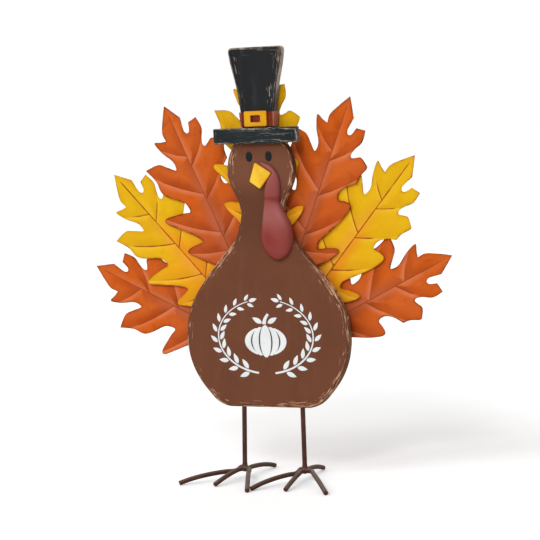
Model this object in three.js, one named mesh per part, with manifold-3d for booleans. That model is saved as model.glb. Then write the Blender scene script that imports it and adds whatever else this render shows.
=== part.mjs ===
import * as THREE from 'three';
import { mergeVertices } from 'three/addons/utils/BufferGeometryUtils.js';
import Module from 'manifold-3d';

// A standing turkey figure: a flat painted board with a hat and a face, seven pressed metal
// leaves behind it as the tail, and two rod legs with bent rod toes.
// Millimetres, +Z up, the face looks along -Y, the ground is z = 0.

// Body board
const boardHeight = 342;
const bodyWidth = 226;
const boardThickness = 12;
const boardEdge = 3.2;
const bodyLean = 3.6;
const legDrop = 94;

// Hat
const crownHeight = 110;
const crownWidth = 75;
const crownEdge = 1.8;
const crownCorner = 4.5;
const brimLength = 116;
const brimHeight = 19.5;
const brimThickness = 7;
const brimEdge = 1.4;
const brimOverlap = 9.1;
const hatShift = -1.3;
const bandHeight = 18.2;
const bandSeam = 1.2;
const bandSheet = 0.6;
const buckleWidth = 31.4;
const buckleHeight = 19.6;
const buckleBar = 9.2;
const buckleRail = 5.7;
const buckleCorner = 2.5;
const buckleThickness = 2.6;
const buckleEdge = 1.1;

// Face
const eyeWidth = 8.8;
const eyeHeight = 12.4;
const eyeThickness = 1.2;
const beakThickness = 5.5;
const beakRim = 3;
const beakEdge = 1.3;
const wattleDrop = 121;
const wattleWidth = 42;
const wattleDepth = 11;

// Leaves
const leafLength = 250;
const leafSheet = 0.8;
const pleat = 2.4;
const layerPitch = 3.3;
const firstLayer = 4.4;

// Rods
const rodDiameter = 6;
const legInsert = 32;
const hubHeight = 14.5;
const weldRadius = 5;
const toeReach = 100;
const knuckleWidth = 10;
const knuckleStep = 3;
const sideShoulder = 11.5;
const sideBend = 15;
const frontShoulder = 14.3;
const frontShift = 2.5;

// Fasteners
const screwShank = 3;
const screwLength = 9;
const screwHead = 7;
const screwHeadHeight = 2;
const dowelDiameter = 5;
const dowelLength = 30;
const dowelSpread = 24;

// Clearances and cutting overruns
const fitGap = 0.3;
const beakRoomGap = 0.6;
const toeGap = 0.6;
const overrun = 2;

// Facets
const rodSides = 12;
const holeSides = 10;
const rodSteps = 32;
const armKnots = 5;
const screwSides = 8;
const wattleSides = 10;
const eyeSides = 16;
const edgeSteps = 2;
const boardRuns = 46;
const crownRuns = 14;
const curveRuns = 3;

const half = (size) => size / 2;
const full = Math.PI * 2;
const quarterTurn = Math.PI / 2;
const rad = (degrees) => THREE.MathUtils.degToRad(degrees);

const wasm = await Module();
wasm.setup();

// Solids: closed triangle meshes that can be joined and cut.

function solidOf(geometry) {
  const bare = geometry.clone();
  bare.deleteAttribute('normal');
  bare.deleteAttribute('uv');
  const merged = mergeVertices(bare);
  const mesh = new wasm.Mesh({
    numProp: 3,
    vertProperties: new Float32Array(merged.attributes.position.array),
    triVerts: new Uint32Array(merged.index.array),
  });
  return new wasm.Manifold(mesh);
}

function geometryOf(solid) {
  const mesh = solid.getMesh();
  const geometry = new THREE.BufferGeometry();
  geometry.setAttribute('position', new THREE.BufferAttribute(new Float32Array(mesh.vertProperties), 3));
  geometry.setIndex(new THREE.BufferAttribute(new Uint32Array(mesh.triVerts), 1));
  geometry.computeVertexNormals();
  return geometry;
}

// The largest of the bodies that a cut leaves.
function largest(solid) {
  return solid.decompose().sort((a, b) => b.volume() - a.volume())[0];
}

const part = new THREE.Group();

function addPiece(name, solid, look) {
  const material = new THREE.MeshStandardMaterial(look);
  const mesh = new THREE.Mesh(geometryOf(solid), material);
  mesh.name = name;
  part.add(mesh);
  return mesh;
}

// A plate drawn in x and z, from its front plane back by its thickness, with eased edges.
function plate(points, frontY, thickness, edge, opening) {
  const shape = new THREE.Shape(points);
  if (opening) {
    shape.holes.push(new THREE.Path(opening));
  }
  const geometry = new THREE.ExtrudeGeometry(shape, {
    depth: thickness - 2 * edge,
    bevelEnabled: edge > 0,
    bevelThickness: edge,
    bevelSize: edge,
    bevelOffset: -edge,
    bevelSegments: edgeSteps,
    steps: 1,
  });
  geometry.rotateX(quarterTurn);
  geometry.translate(0, frontY + thickness - edge, 0);
  return solidOf(geometry);
}

// A round bar between two points, run on past both ends by the given lengths.
function bar(from, to, radius, sides, before, after) {
  const axis = new THREE.Vector3().subVectors(to, from).normalize();
  const start = from.clone().addScaledVector(axis, -before);
  const end = to.clone().addScaledVector(axis, after);
  const geometry = new THREE.CylinderGeometry(radius, radius, start.distanceTo(end), sides);
  const turn = new THREE.Quaternion().setFromUnitVectors(new THREE.Vector3(0, 1, 0), axis);
  geometry.applyQuaternion(turn);
  const middle = start.add(end).multiplyScalar(0.5);
  geometry.translate(middle.x, middle.y, middle.z);
  return solidOf(geometry);
}

// Body board: half the width and the height of the outline, from the foot of the belly to
// the flat top of the head, as shares of half the body width and of the board height.
const boardShares = [
  [0.487, 0], [0.565, 0.006], [0.64, 0.019], [0.71, 0.04], [0.825, 0.085], [0.91, 0.13],
  [0.963, 0.174], [0.992, 0.22], [1, 0.262], [0.981, 0.322], [0.902, 0.396], [0.748, 0.471],
  [0.558, 0.544], [0.452, 0.581], [0.352, 0.62], [0.297, 0.658], [0.266, 0.695], [0.26, 0.722],
  [0.287, 0.765], [0.348, 0.802], [0.394, 0.839], [0.409, 0.87], [0.393, 0.912],
  [0.353, 0.949], [0.306, 0.975], [0.212, 1],
];

const boardTop = legDrop + boardHeight;

// The belly sits a little to one side of the head.
const leanAt = (share) => -bodyLean * (1 - share);

function boardOutline() {
  const knots = boardShares.map(([w, h]) => new THREE.Vector2(w, h));
  const right = new THREE.SplineCurve(knots).getPoints(boardRuns);
  const place = (p, side) => new THREE.Vector2(
    side * p.x * half(bodyWidth) + leanAt(p.y),
    legDrop + p.y * boardHeight,
  );
  const left = [...right].reverse();
  return [...right.map((p) => place(p, 1)), ...left.map((p) => place(p, -1))];
}

// A point on the board's face: shares of half the body width and of the board height.
function onBoard(acrossShare, upShare) {
  return new THREE.Vector2(acrossShare * half(bodyWidth), legDrop + upShare * boardHeight);
}

// Hat crown: half widths and heights as shares of half its width and of its height.
const crownShares = [
  [0.58, 0], [0.6, 0.18], [0.652, 0.36], [0.73, 0.588], [0.817, 0.746], [1, 1],
];

function crownHalfAt(z) {
  const share = (z - boardTop - fitGap) / crownHeight;
  const next = crownShares.findIndex(([, h]) => h >= share);
  const [w1, h1] = crownShares[Math.max(next, 1)];
  const [w0, h0] = crownShares[Math.max(next, 1) - 1];
  return half(crownWidth) * THREE.MathUtils.lerp(w0, w1, (share - h0) / (h1 - h0));
}

function crownOutline() {
  const foot = boardTop + fitGap;
  const top = foot + crownHeight;
  const knots = crownShares.map(([w, h]) => new THREE.Vector2(
    w * half(crownWidth),
    foot + h * crownHeight,
  ));
  const side = new THREE.SplineCurve(knots).getPoints(crownRuns);
  const corner = side.pop();
  const approach = side[side.length - 1];
  const enter = approach.clone().sub(corner).setLength(crownCorner).add(corner);
  const leave = new THREE.Vector2(corner.x - crownCorner, top);
  const round = new THREE.QuadraticBezierCurve(enter, corner, leave).getPoints(curveRuns);
  const right = [...side, ...round];
  const left = [...right].reverse().map((p) => new THREE.Vector2(-p.x, p.y));
  return [...right, ...left];
}

// Legs: the x of each leg where it enters the board and over its foot, as shares of half
// the body width, and the turn of the foot about the leg.
const legSides = {
  left: { enterShare: -0.366, footShare: -0.399 },
  right: { enterShare: 0.356, footShare: 0.346 },
};

const legY = half(boardThickness);

function legLine({ enterShare, footShare }) {
  const foot = new THREE.Vector3(footShare * half(bodyWidth), legY, hubHeight);
  const enter = new THREE.Vector3(enterShare * half(bodyWidth), legY, legDrop);
  return { foot, enter };
}

// Toes of each foot: heading in degrees from +X, and reach as a share of the longest one.
const toeShares = {
  left: {
    outer: [-139.3, 0.862], middle: [-105, 0.582], inner: [-62.5, 0.93], rear: [87, 0.79],
  },
  right: {
    outer: [-50.9, 1], middle: [-86.6, 0.676], inner: [-119.9, 0.85], rear: [96.7, 0.755],
  },
};

// The two rods of each foot, each bent into a V from one toe to another. The bend lies
// beside the leg, and the leg stands outside the V.
const footRods = {
  left: { side: ['outer', 'rear'], front: ['middle', 'inner'] },
  right: { side: ['inner', 'rear'], front: ['middle', 'outer'] },
};

function wayOf(heading) {
  return new THREE.Vector2(Math.cos(rad(heading)), Math.sin(rad(heading)));
}

// How far a toe reaches. The inner toes cross in front of the figure, and the right one
// stops beside the left one.
function reachOf(side, toe) {
  const [heading, share] = toeShares[side][toe];
  if (side === 'left' || toe !== 'inner') {
    return share * toeReach;
  }
  const [other] = toeShares.left.inner;
  const stance = legLine(legSides.right).foot.x - legLine(legSides.left).foot.x;
  const between = rad(other - heading);
  const crossing = (stance * Math.sin(rad(-other))) / Math.sin(between);
  const room = half(rodDiameter) * (1 + Math.cos(between)) + toeGap;
  return Math.min(share * toeReach, crossing - room / Math.sin(between));
}

// How each rod rises: the height of its shoulders, where the toes leave the bend, the height
// of the bend, how far the bend is set towards the second toe, and how fast the toes fall
// to their tips, where 1 is a straight line.
const rodRises = {
  side: { shoulder: sideShoulder, bend: sideBend, shift: 0, archShare: 2.5 },
  front: { shoulder: frontShoulder, bend: hubHeight, shift: frontShift, archShare: 1.5 },
};

// The centre line of a toe rod: it bends round the leg between two shoulders, and each toe
// runs straight in plan from its shoulder down to its tip.
function toePath(side, rod) {
  const { foot } = legLine(legSides[side]);
  const { bend, shift } = rodRises[rod];
  const toes = footRods[side][rod];
  const ways = toes.map((toe) => wayOf(toeShares[side][toe][0]));
  const mouth = ways[0].clone().add(ways[1]).normalize();
  const asides = ways.map((way) => way.clone().addScaledVector(mouth, -way.dot(mouth)).normalize());
  const leg = new THREE.Vector2(foot.x, foot.y);
  const top = leg.clone().addScaledVector(mouth, rodDiameter + fitGap);
  top.addScaledVector(asides[1], shift);
  const arms = toes.map((toe, k) => {
    const shoulder = top.clone().addScaledVector(asides[k], half(knuckleWidth));
    shoulder.addScaledVector(ways[k], knuckleStep);
    return toeArm(leg.clone().addScaledVector(ways[k], reachOf(side, toe)), shoulder, rod);
  });
  const knots = [...arms[0], new THREE.Vector3(top.x, top.y, bend), ...arms[1].reverse()];
  return new THREE.CatmullRomCurve3(knots, false, 'centripetal');
}

// Knots of one toe, from its tip on the ground to its shoulder.
function toeArm(tip, shoulder, rod) {
  const low = half(rodDiameter);
  const rise = rodRises[rod].shoulder - low;
  const knots = [];
  for (let k = 0; k <= armKnots; k += 1) {
    const out = 1 - k / armKnots;
    const p = shoulder.clone().lerp(tip, out);
    knots.push(new THREE.Vector3(p.x, p.y, low + rise * (1 - out ** rodRises[rod].archShare)));
  }
  return knots;
}

function toeSolid(side, rod, radius) {
  const circle = new THREE.Shape();
  circle.absarc(0, 0, radius, 0, full);
  const geometry = new THREE.ExtrudeGeometry(circle, {
    extrudePath: toePath(side, rod),
    steps: rodSteps,
    curveSegments: half(rodSides),
    bevelEnabled: false,
  });
  return solidOf(geometry);
}

// A leg with the bead of weld at its foot, cut clear of the two rods of toes.
function legSolid(side) {
  const { foot, enter } = legLine(legSides[side]);
  const radius = half(rodDiameter);
  const bead = new THREE.SphereGeometry(weldRadius, rodSides, half(rodSides));
  bead.translate(foot.x, foot.y, foot.z);
  let leg = bar(foot, enter, radius, rodSides, radius, legInsert).add(solidOf(bead));
  for (const rod of ['side', 'front']) {
    leg = leg.subtract(toeSolid(side, rod, radius + fitGap));
  }
  return largest(leg);
}

function legBore(side) {
  const { foot, enter } = legLine(legSides[side]);
  const radius = half(rodDiameter) + fitGap;
  return bar(foot, enter, radius, holeSides, 0, legInsert + fitGap);
}

// Leaves: each lies in its own layer behind the board, turned about the end of its stem.
// acrossShare and upShare place the stem end on the board, turn is in degrees, and spreadShare
// is how far the leaf is pressed out sideways.
const leafPlaces = {
  centre_leaf: { layer: 0, turn: -0.2, acrossShare: -0.031, upShare: 0.547, spreadShare: 1.06 },
  upper_left_leaf: { layer: 1, turn: 24.3, acrossShare: -0.335, upShare: 0.454, spreadShare: 1.03 },
  upper_right_leaf: { layer: 1, turn: -22.7, acrossShare: 0.2, upShare: 0.454, spreadShare: 1 },
  mid_left_leaf: { layer: 2, turn: 43, acrossShare: -0.45, upShare: 0.334, spreadShare: 1 },
  mid_right_leaf: { layer: 2, turn: -40.4, acrossShare: 0.334, upShare: 0.354, spreadShare: 1 },
  lower_left_leaf: { layer: 3, turn: 65, acrossShare: -0.272, upShare: 0.211, spreadShare: 1 },
  lower_right_leaf: { layer: 3, turn: -63.8, acrossShare: 0.151, upShare: 0.228, spreadShare: 1 },
};

// The outline in runs that meet at sharp corners, from the tip down each side to the
// stem. Shares of the leaf length: across, and down from the tip.
const leafRightShares = [
  [[0, 0], [0.028, 0.046], [0.056, 0.093]],
  [[0.056, 0.093], [0.046, 0.14], [0.043, 0.165], [0.053, 0.181], [0.07, 0.174], [0.085, 0.135]],
  [[0.085, 0.135], [0.134, 0.129]],
  [[0.134, 0.129], [0.138, 0.165], [0.134, 0.198], [0.112, 0.235], [0.104, 0.275]],
  [[0.104, 0.275], [0.128, 0.272], [0.158, 0.262], [0.205, 0.295]],
  [[0.205, 0.295], [0.183, 0.352], [0.179, 0.39]],
  [[0.179, 0.39], [0.135, 0.422], [0.11, 0.455], [0.107, 0.488]],
  [[0.107, 0.488], [0.145, 0.494], [0.18, 0.5], [0.187, 0.52], [0.175, 0.565], [0.155, 0.61],
    [0.122, 0.672], [0.09, 0.73], [0.088, 0.76]],
  [[0.088, 0.76], [0.14, 0.745], [0.188, 0.733], [0.202, 0.745], [0.172, 0.8], [0.12, 0.85],
    [0.05, 0.876], [0.0275, 0.89]],
];

const leafLeftShares = [
  [[0, 0], [-0.03, 0.045], [-0.062, 0.099]],
  [[-0.062, 0.099], [-0.073, 0.13], [-0.071, 0.165]],
  [[-0.071, 0.165], [-0.1, 0.157], [-0.128, 0.144], [-0.136, 0.153], [-0.12, 0.205],
    [-0.085, 0.27], [-0.084, 0.319]],
  [[-0.084, 0.319], [-0.125, 0.282], [-0.166, 0.252], [-0.243, 0.248]],
  [[-0.243, 0.248], [-0.215, 0.325], [-0.211, 0.388]],
  [[-0.211, 0.388], [-0.181, 0.432], [-0.123, 0.485], [-0.112, 0.534]],
  [[-0.112, 0.534], [-0.18, 0.528], [-0.25, 0.52], [-0.259, 0.538], [-0.222, 0.58],
    [-0.165, 0.637], [-0.137, 0.67], [-0.12, 0.708]],
  [[-0.12, 0.708], [-0.17, 0.71], [-0.205, 0.714], [-0.216, 0.726], [-0.17, 0.783],
    [-0.12, 0.832], [-0.05, 0.88], [-0.0275, 0.89]],
];

// The veins: where each leaves the midrib and the far end of its line, and the crest
// between it and the vein before it. Shares of the leaf length.
const veinRightShares = [
  { root: 0.34, vein: [0.19, 0.13], crest: [0.095, 0.01] },
  { root: 0.525, vein: [0.29, 0.22], crest: [0.25, 0.185] },
  { root: 0.735, vein: [0.28, 0.425], crest: [0.3, 0.36] },
  { root: 0.815, vein: [0.29, 0.705], crest: [0.31, 0.58] },
];

const veinLeftShares = [
  { root: 0.285, vein: [-0.19, 0.115], crest: [-0.14, 0.04] },
  { root: 0.495, vein: [-0.3, 0.195], crest: [-0.26, 0.16] },
  { root: 0.71, vein: [-0.32, 0.445], crest: [-0.34, 0.32] },
  { root: 0.81, vein: [-0.315, 0.67], crest: [-0.34, 0.565] },
];

const stemShare = 0.0275;
const stemFootShare = 1;
const riseShares = [0.82, 0.89];
const reachShare = 0.4;
const tipShare = -0.08;
const footShare = 1.06;
const screwShares = [0.915, 0.975];

const along = (share) => (1 - share) * leafLength;

// The cut edge of the leaf, drawn with its stem end at the origin and its tip up.
function leafOutline() {
  const draw = (runs) => runs.flatMap((run) => {
    const knots = run.map(([x, d]) => new THREE.Vector2(x * leafLength, along(d)));
    const steps = (knots.length - 1) * (knots.length > 2 ? curveRuns - 1 : 1);
    return new THREE.SplineCurve(knots).getPoints(steps).slice(0, -1);
  });
  const stem = stemShare * leafLength;
  const end = new THREE.Path();
  end.moveTo(stem, along(riseShares[1]));
  end.lineTo(stem, stem);
  end.absarc(0, stem, stem, 0, -Math.PI, true);
  end.lineTo(-stem, along(riseShares[1]));
  const right = draw(leafRightShares);
  const left = draw(leafLeftShares).reverse();
  return [...right, ...end.getPoints(curveRuns + 1), ...left.slice(0, -1)];
}

// Half of the pleated sheet, on the side given by the sign, behind the plane y = 0. The
// midrib and the veins lie at the valley's depth, the crests between them stand forward,
// and the stem is bent forward by the rise.
function halfSheet(rows, sign, valley, rise) {
  const points = [];
  const faces = [];
  const at = (x, d, h) => points.push([x * leafLength, valley - h, along(d)]) - 1;
  const face = (a, b, c) => faces.push(sign > 0 ? [a, b, c] : [a, c, b]);
  let above = at(0, tipShare, 0);
  let veinAbove = null;
  for (const { root, vein, crest } of rows) {
    const ridge = at(crest[0], crest[1], pleat);
    const spine = at(0, root, 0);
    const end = at(vein[0], vein[1], 0);
    if (veinAbove !== null) {
      face(above, ridge, veinAbove);
    }
    face(above, spine, ridge);
    face(spine, end, ridge);
    above = spine;
    veinAbove = end;
  }
  const stem = [[riseShares[0], 0], [riseShares[1], rise], [footShare, rise]];
  const inner = stem.map(([d, h]) => at(0, d, h));
  const outer = stem.map(([d, h]) => at(sign * reachShare, d, h));
  face(above, outer[0], veinAbove);
  face(above, inner[0], outer[0]);
  for (let k = 1; k < stem.length; k += 1) {
    face(inner[k - 1], inner[k], outer[k - 1]);
    face(inner[k], outer[k], outer[k - 1]);
  }
  return sheetSolid(points, faces);
}

// A sheet of the leaf's thickness: its front face is given, its back face lies behind it,
// and a wall closes every edge that only one facet of the front uses.
function sheetSolid(points, faces) {
  const count = points.length;
  const back = points.map(([x, y, z]) => [x, y + leafSheet, z]);
  const edges = new Map();
  const index = [];
  for (const [a, b, c] of faces) {
    index.push(a, b, c, a + count, c + count, b + count);
    for (const [from, to] of [[a, b], [b, c], [c, a]]) {
      edges.set(`${from} ${to}`, [from, to]);
    }
  }
  for (const [from, to] of edges.values()) {
    if (!edges.has(`${to} ${from}`)) {
      index.push(to, from, from + count, to, from + count, to + count);
    }
  }
  const geometry = new THREE.BufferGeometry();
  geometry.setAttribute('position', new THREE.Float32BufferAttribute([...points, ...back].flat(), 3));
  geometry.setIndex(index);
  return solidOf(geometry);
}

// One leaf, with the back of the board as its plane y = 0 and its stem end at the origin.
function leafSolid({ layer, spreadShare }) {
  const backPlane = firstLayer + layer * layerPitch;
  const valley = backPlane - leafSheet;
  const rise = valley - fitGap;
  const right = halfSheet(veinRightShares, 1, valley, rise);
  const left = halfSheet(veinLeftShares, -1, valley, rise);
  const sheet = right.add(left);
  const cutter = plate(leafOutline(), -overrun, backPlane + 2 * overrun, 0);
  let leaf = sheet.intersect(cutter).scale([spreadShare, 1, 1]);
  for (const share of screwShares) {
    const from = new THREE.Vector3(0, fitGap, along(share));
    const to = new THREE.Vector3(0, fitGap + leafSheet, along(share));
    leaf = leaf.subtract(bar(from, to, half(screwShank) + fitGap, holeSides, overrun, overrun));
  }
  return leaf;
}

// Where each screw of a leaf goes into the back of the board.
function screwPoints({ turn, acrossShare, upShare }) {
  const foot = onBoard(acrossShare, upShare);
  return screwShares.map((share) => {
    const up = new THREE.Vector2(0, along(share)).rotateAround(new THREE.Vector2(), rad(turn));
    return up.add(foot);
  });
}

const screwSeat = boardThickness + 2 * fitGap + leafSheet;

// A pan-head wood screw that points to the front, its head resting behind the leaf's stem.
function screwSolid(point) {
  const shank = half(screwShank);
  const profile = [
    [0, -screwLength], [shank, -screwLength + screwShank], [shank, 0], [half(screwHead), 0],
    [half(screwHead), half(screwHeadHeight)], [half(screwHead) - shank, screwHeadHeight],
    [0, screwHeadHeight],
  ];
  const geometry = new THREE.LatheGeometry(profile.map(([r, h]) => new THREE.Vector2(r, h)), screwSides);
  geometry.translate(point.x, screwSeat, point.y);
  return solidOf(geometry);
}

function screwBore(point) {
  const mouth = new THREE.Vector3(point.x, boardThickness, point.y);
  const end = new THREE.Vector3(point.x, screwSeat - screwLength - fitGap, point.y);
  return bar(end, mouth, half(screwShank) + fitGap, holeSides, 0, overrun);
}

// Dowels between the head and the crown.
function dowelBar(side, radius, extra) {
  const x = side * half(dowelSpread);
  const joint = boardTop + half(fitGap);
  const low = new THREE.Vector3(x, legY, joint - half(dowelLength));
  const high = new THREE.Vector3(x, legY, joint + half(dowelLength));
  return bar(low, high, radius, holeSides, extra, extra);
}

function withDowelBores(solid) {
  const radius = half(dowelDiameter) + fitGap;
  return [-1, 1].reduce((rest, side) => rest.subtract(dowelBar(side, radius, fitGap)), solid);
}

const allScrews = Object.values(leafPlaces).flatMap(screwPoints);

function bodySolid() {
  let body = plate(boardOutline(), 0, boardThickness, boardEdge);
  body = withDowelBores(body);
  for (const side of Object.keys(legSides)) {
    body = body.subtract(legBore(side));
  }
  for (const point of allScrews) {
    body = body.subtract(screwBore(point));
  }
  return body;
}

// The brim lies on the front of the head and the crown. The band is a thin strap all round
// the foot of the crown, just above the brim.
const brimLow = boardTop - brimOverlap;
const brimTop = brimLow + brimHeight;
const bandLow = brimTop + bandSeam;

function strapOutline(low, high, grow) {
  const [wLow, wHigh] = [low, high].map((z) => crownHalfAt(z) + grow);
  return [[wLow, low], [wHigh, high], [-wHigh, high], [-wLow, low]]
    .map(([x, z]) => new THREE.Vector2(x, z));
}

function bandSolid() {
  const skin = fitGap + bandSheet;
  const [low, high] = [bandLow, bandLow + bandHeight];
  const outer = plate(strapOutline(low, high, skin), -skin, boardThickness + 2 * skin, 0);
  const room = strapOutline(low - overrun, high + overrun, fitGap);
  return outer.subtract(plate(room, -fitGap, boardThickness + 2 * fitGap, 0));
}

// A rectangle with round corners about a centre.
function roundedBox(centre, width, height, corner) {
  const path = new THREE.Path();
  const [x, z] = [half(width) - corner, half(height) - corner];
  path.absarc(centre.x + x, centre.y - z, corner, -quarterTurn, 0);
  path.absarc(centre.x + x, centre.y + z, corner, 0, quarterTurn);
  path.absarc(centre.x - x, centre.y + z, corner, quarterTurn, 2 * quarterTurn);
  path.absarc(centre.x - x, centre.y - z, corner, -2 * quarterTurn, -quarterTurn);
  return path.getPoints(curveRuns - 1);
}

function buckleSolid() {
  const centre = new THREE.Vector2(hatShift, bandLow + half(bandHeight) + half(bandSeam));
  const outer = roundedBox(centre, buckleWidth, buckleHeight, buckleCorner);
  const [width, height] = [buckleWidth - 2 * buckleBar, buckleHeight - 2 * buckleRail];
  const inner = roundedBox(centre, width, height, half(buckleCorner));
  const front = -(2 * fitGap + bandSheet + buckleThickness);
  return plate(outer, front, buckleThickness, buckleEdge, inner);
}

function brimSolid() {
  const [x, z] = [half(brimLength), half(brimHeight)];
  const middle = brimLow + z;
  const corners = [[x, -z], [x, z], [-x, z], [-x, -z]];
  const outline = corners.map(([dx, dz]) => new THREE.Vector2(hatShift + dx, middle + dz));
  return plate(outline, -brimThickness, brimThickness, brimEdge);
}

// Face: places as shares of half the body width and of the board height.
const eyeAcrossShares = [-0.125, 0.114];
const eyeUpShare = 0.925;

function eyeSolid(acrossShare) {
  const centre = onBoard(acrossShare, eyeUpShare);
  const curve = new THREE.EllipseCurve(centre.x, centre.y, half(eyeWidth), half(eyeHeight));
  const outline = curve.getPoints(eyeSides).slice(0, -1);
  return plate(outline, -eyeThickness, eyeThickness, half(eyeThickness) - half(fitGap));
}

// The beak's four corners, top, right, bottom and left.
const beakShares = [[-0.043, 0.905], [0.15, 0.864], [0.008, 0.806], [-0.129, 0.834]];
const beakCornerShare = 0.09;

function beakOutline(grow) {
  const corners = beakShares.map(([w, h]) => onBoard(w, h));
  const sum = corners.reduce((all, p) => all.add(p), new THREE.Vector2());
  const middle = sum.divideScalar(corners.length);
  const grown = corners.map((p) => {
    const out = p.clone().sub(middle);
    return out.setLength(out.length() + grow).add(middle);
  });
  return grown.flatMap((p, k) => {
    const before = grown.at(k - 1);
    const after = grown[(k + 1) % grown.length];
    const enter = p.clone().lerp(before, beakCornerShare);
    const leave = p.clone().lerp(after, beakCornerShare);
    return new THREE.QuadraticBezierCurve(enter, p, leave).getPoints(curveRuns);
  }).reverse();
}

// The beak's front is folded along the line from its top corner to its bottom corner.
function beakSolid() {
  const corners = beakShares.map(([w, h]) => onBoard(w, h));
  const depths = [beakThickness, beakRim, beakThickness, beakRim];
  const back = corners.map((p) => [p.x, overrun, p.y]);
  const front = corners.map((p, k) => [p.x, -depths[k], p.y]);
  const geometry = new THREE.BufferGeometry();
  geometry.setAttribute('position', new THREE.Float32BufferAttribute([...back, ...front].flat(), 3));
  geometry.setIndex([
    0, 1, 2, 0, 2, 3, 4, 6, 5, 4, 7, 6,
    0, 4, 5, 0, 5, 1, 1, 5, 6, 1, 6, 2, 2, 6, 7, 2, 7, 3, 3, 7, 4, 3, 4, 0,
  ]);
  const folded = solidOf(geometry);
  return folded.intersect(plate(beakOutline(0), -beakThickness, beakThickness, beakEdge));
}

// The wattle: rings along its centre line, from its start over the beak down to its round
// end. Shares: across from its axis, of its width; down, of its drop; half width, of half
// its width.
const wattleShares = [
  [-0.467, 0, 0.08], [-0.322, 0.026, 0.194], [-0.166, 0.073, 0.289], [-0.085, 0.135, 0.384],
  [-0.073, 0.207, 0.469], [-0.105, 0.279, 0.526], [-0.126, 0.33, 0.545], [-0.126, 0.355, 0.52],
  [-0.135, 0.38, 0.52], [-0.143, 0.422, 0.545], [-0.118, 0.505, 0.69], [-0.078, 0.587, 0.862],
  [-0.04, 0.67, 1], [-0.03, 0.752, 1.07], [-0.025, 0.825, 1.03], [-0.03, 0.897, 0.87],
  [-0.036, 0.949, 0.66], [-0.042, 0.984, 0.38], [-0.045, 1, 0.14],
];
const wattleAcrossShare = 0.187;
const wattleUpShare = 0.9;
const wattleSwell = 0.6;

function wattleRing(centre, across, halfShare) {
  const ring = [];
  for (let k = 0; k <= wattleSides; k += 1) {
    const angle = (Math.PI * k) / wattleSides;
    const out = Math.cos(angle) * halfShare * half(wattleWidth);
    const swell = halfShare ** wattleSwell * wattleDepth;
    const deep = k % wattleSides === 0 ? 0 : Math.sin(angle) * swell;
    ring.push([centre.x + across.x * out, -deep, centre.y + across.y * out]);
  }
  return ring;
}

function wattleSolid() {
  const top = onBoard(wattleAcrossShare, wattleUpShare);
  const line = wattleShares.map(([x, d]) => new THREE.Vector2(
    top.x + x * wattleWidth,
    top.y - d * wattleDrop,
  ));
  const rings = line.map((centre, k) => {
    const before = line[Math.max(k - 1, 0)];
    const after = line[Math.min(k + 1, line.length - 1)];
    const way = after.clone().sub(before).normalize();
    return wattleRing(centre, new THREE.Vector2(-way.y, way.x), wattleShares[k][2]);
  });
  const size = wattleSides + 1;
  const index = [];
  for (let r = 1; r < rings.length; r += 1) {
    for (let k = 0; k < size; k += 1) {
      const [a, b] = [(r - 1) * size + k, (r - 1) * size + ((k + 1) % size)];
      index.push(a, b, a + size, b, b + size, a + size);
    }
  }
  const last = (rings.length - 1) * size;
  for (let k = 1; k < size - 1; k += 1) {
    index.push(0, k + 1, k, last, last + k, last + k + 1);
  }
  const geometry = new THREE.BufferGeometry();
  geometry.setAttribute('position', new THREE.Float32BufferAttribute(rings.flat(2), 3));
  geometry.setIndex(index);
  const whole = solidOf(geometry);
  const front = -(beakThickness + overrun);
  const beakRoom = plate(beakOutline(beakRoomGap), front, beakThickness + 2 * overrun, 0);
  return largest(whole.subtract(beakRoom));
}

// Looks
const brownPaint = { color: 0x714836, roughness: 0.75, metalness: 0 };
const blackPaint = { color: 0x2e3033, roughness: 0.7, metalness: 0 };
const bandPaint = { color: 0x733928, roughness: 0.7, metalness: 0 };
const bucklePaint = { color: 0xf0ba23, roughness: 0.5, metalness: 0 };
const eyePaint = { color: 0x23302e, roughness: 0.5, metalness: 0 };
const beakPaint = { color: 0xf5bd3a, roughness: 0.6, metalness: 0 };
const wattlePaint = { color: 0x8c3c3a, roughness: 0.6, metalness: 0 };
const orangePaint = { color: 0xc85a1e, roughness: 0.55, metalness: 0.1 };
const yellowPaint = { color: 0xecb41e, roughness: 0.55, metalness: 0.1 };
const rodPaint = { color: 0x5f4137, roughness: 0.5, metalness: 0.3 };
const screwMetal = { color: 0xb8b8b4, roughness: 0.35, metalness: 1 };
const dowelWood = { color: 0xc8a070, roughness: 0.8, metalness: 0 };

const leafLooks = {
  centre_leaf: yellowPaint,
  upper_left_leaf: orangePaint,
  upper_right_leaf: orangePaint,
  mid_left_leaf: yellowPaint,
  mid_right_leaf: yellowPaint,
  lower_left_leaf: orangePaint,
  lower_right_leaf: orangePaint,
};

addPiece('body_board', bodySolid(), brownPaint);
addPiece('hat_crown', withDowelBores(plate(crownOutline(), 0, boardThickness, crownEdge)), blackPaint);
addPiece('hat_band', bandSolid(), bandPaint);
addPiece('hat_buckle', buckleSolid(), bucklePaint);
addPiece('hat_brim', brimSolid(), blackPaint);
addPiece('left_eye', eyeSolid(eyeAcrossShares[0]), eyePaint);
addPiece('right_eye', eyeSolid(eyeAcrossShares[1]), eyePaint);
addPiece('beak', beakSolid(), beakPaint);
addPiece('wattle', wattleSolid(), wattlePaint);

for (const [name, place] of Object.entries(leafPlaces)) {
  const leaf = addPiece(name, leafSolid(place), leafLooks[name]);
  const foot = onBoard(place.acrossShare, place.upShare);
  leaf.rotation.y = -rad(place.turn);
  leaf.position.set(foot.x, boardThickness, foot.y);
}

for (const side of Object.keys(legSides)) {
  addPiece(`${side}_leg`, legSolid(side), rodPaint);
  addPiece(`${side}_side_toes`, toeSolid(side, 'side', half(rodDiameter)), rodPaint);
  addPiece(`${side}_front_toes`, toeSolid(side, 'front', half(rodDiameter)), rodPaint);
}

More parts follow.
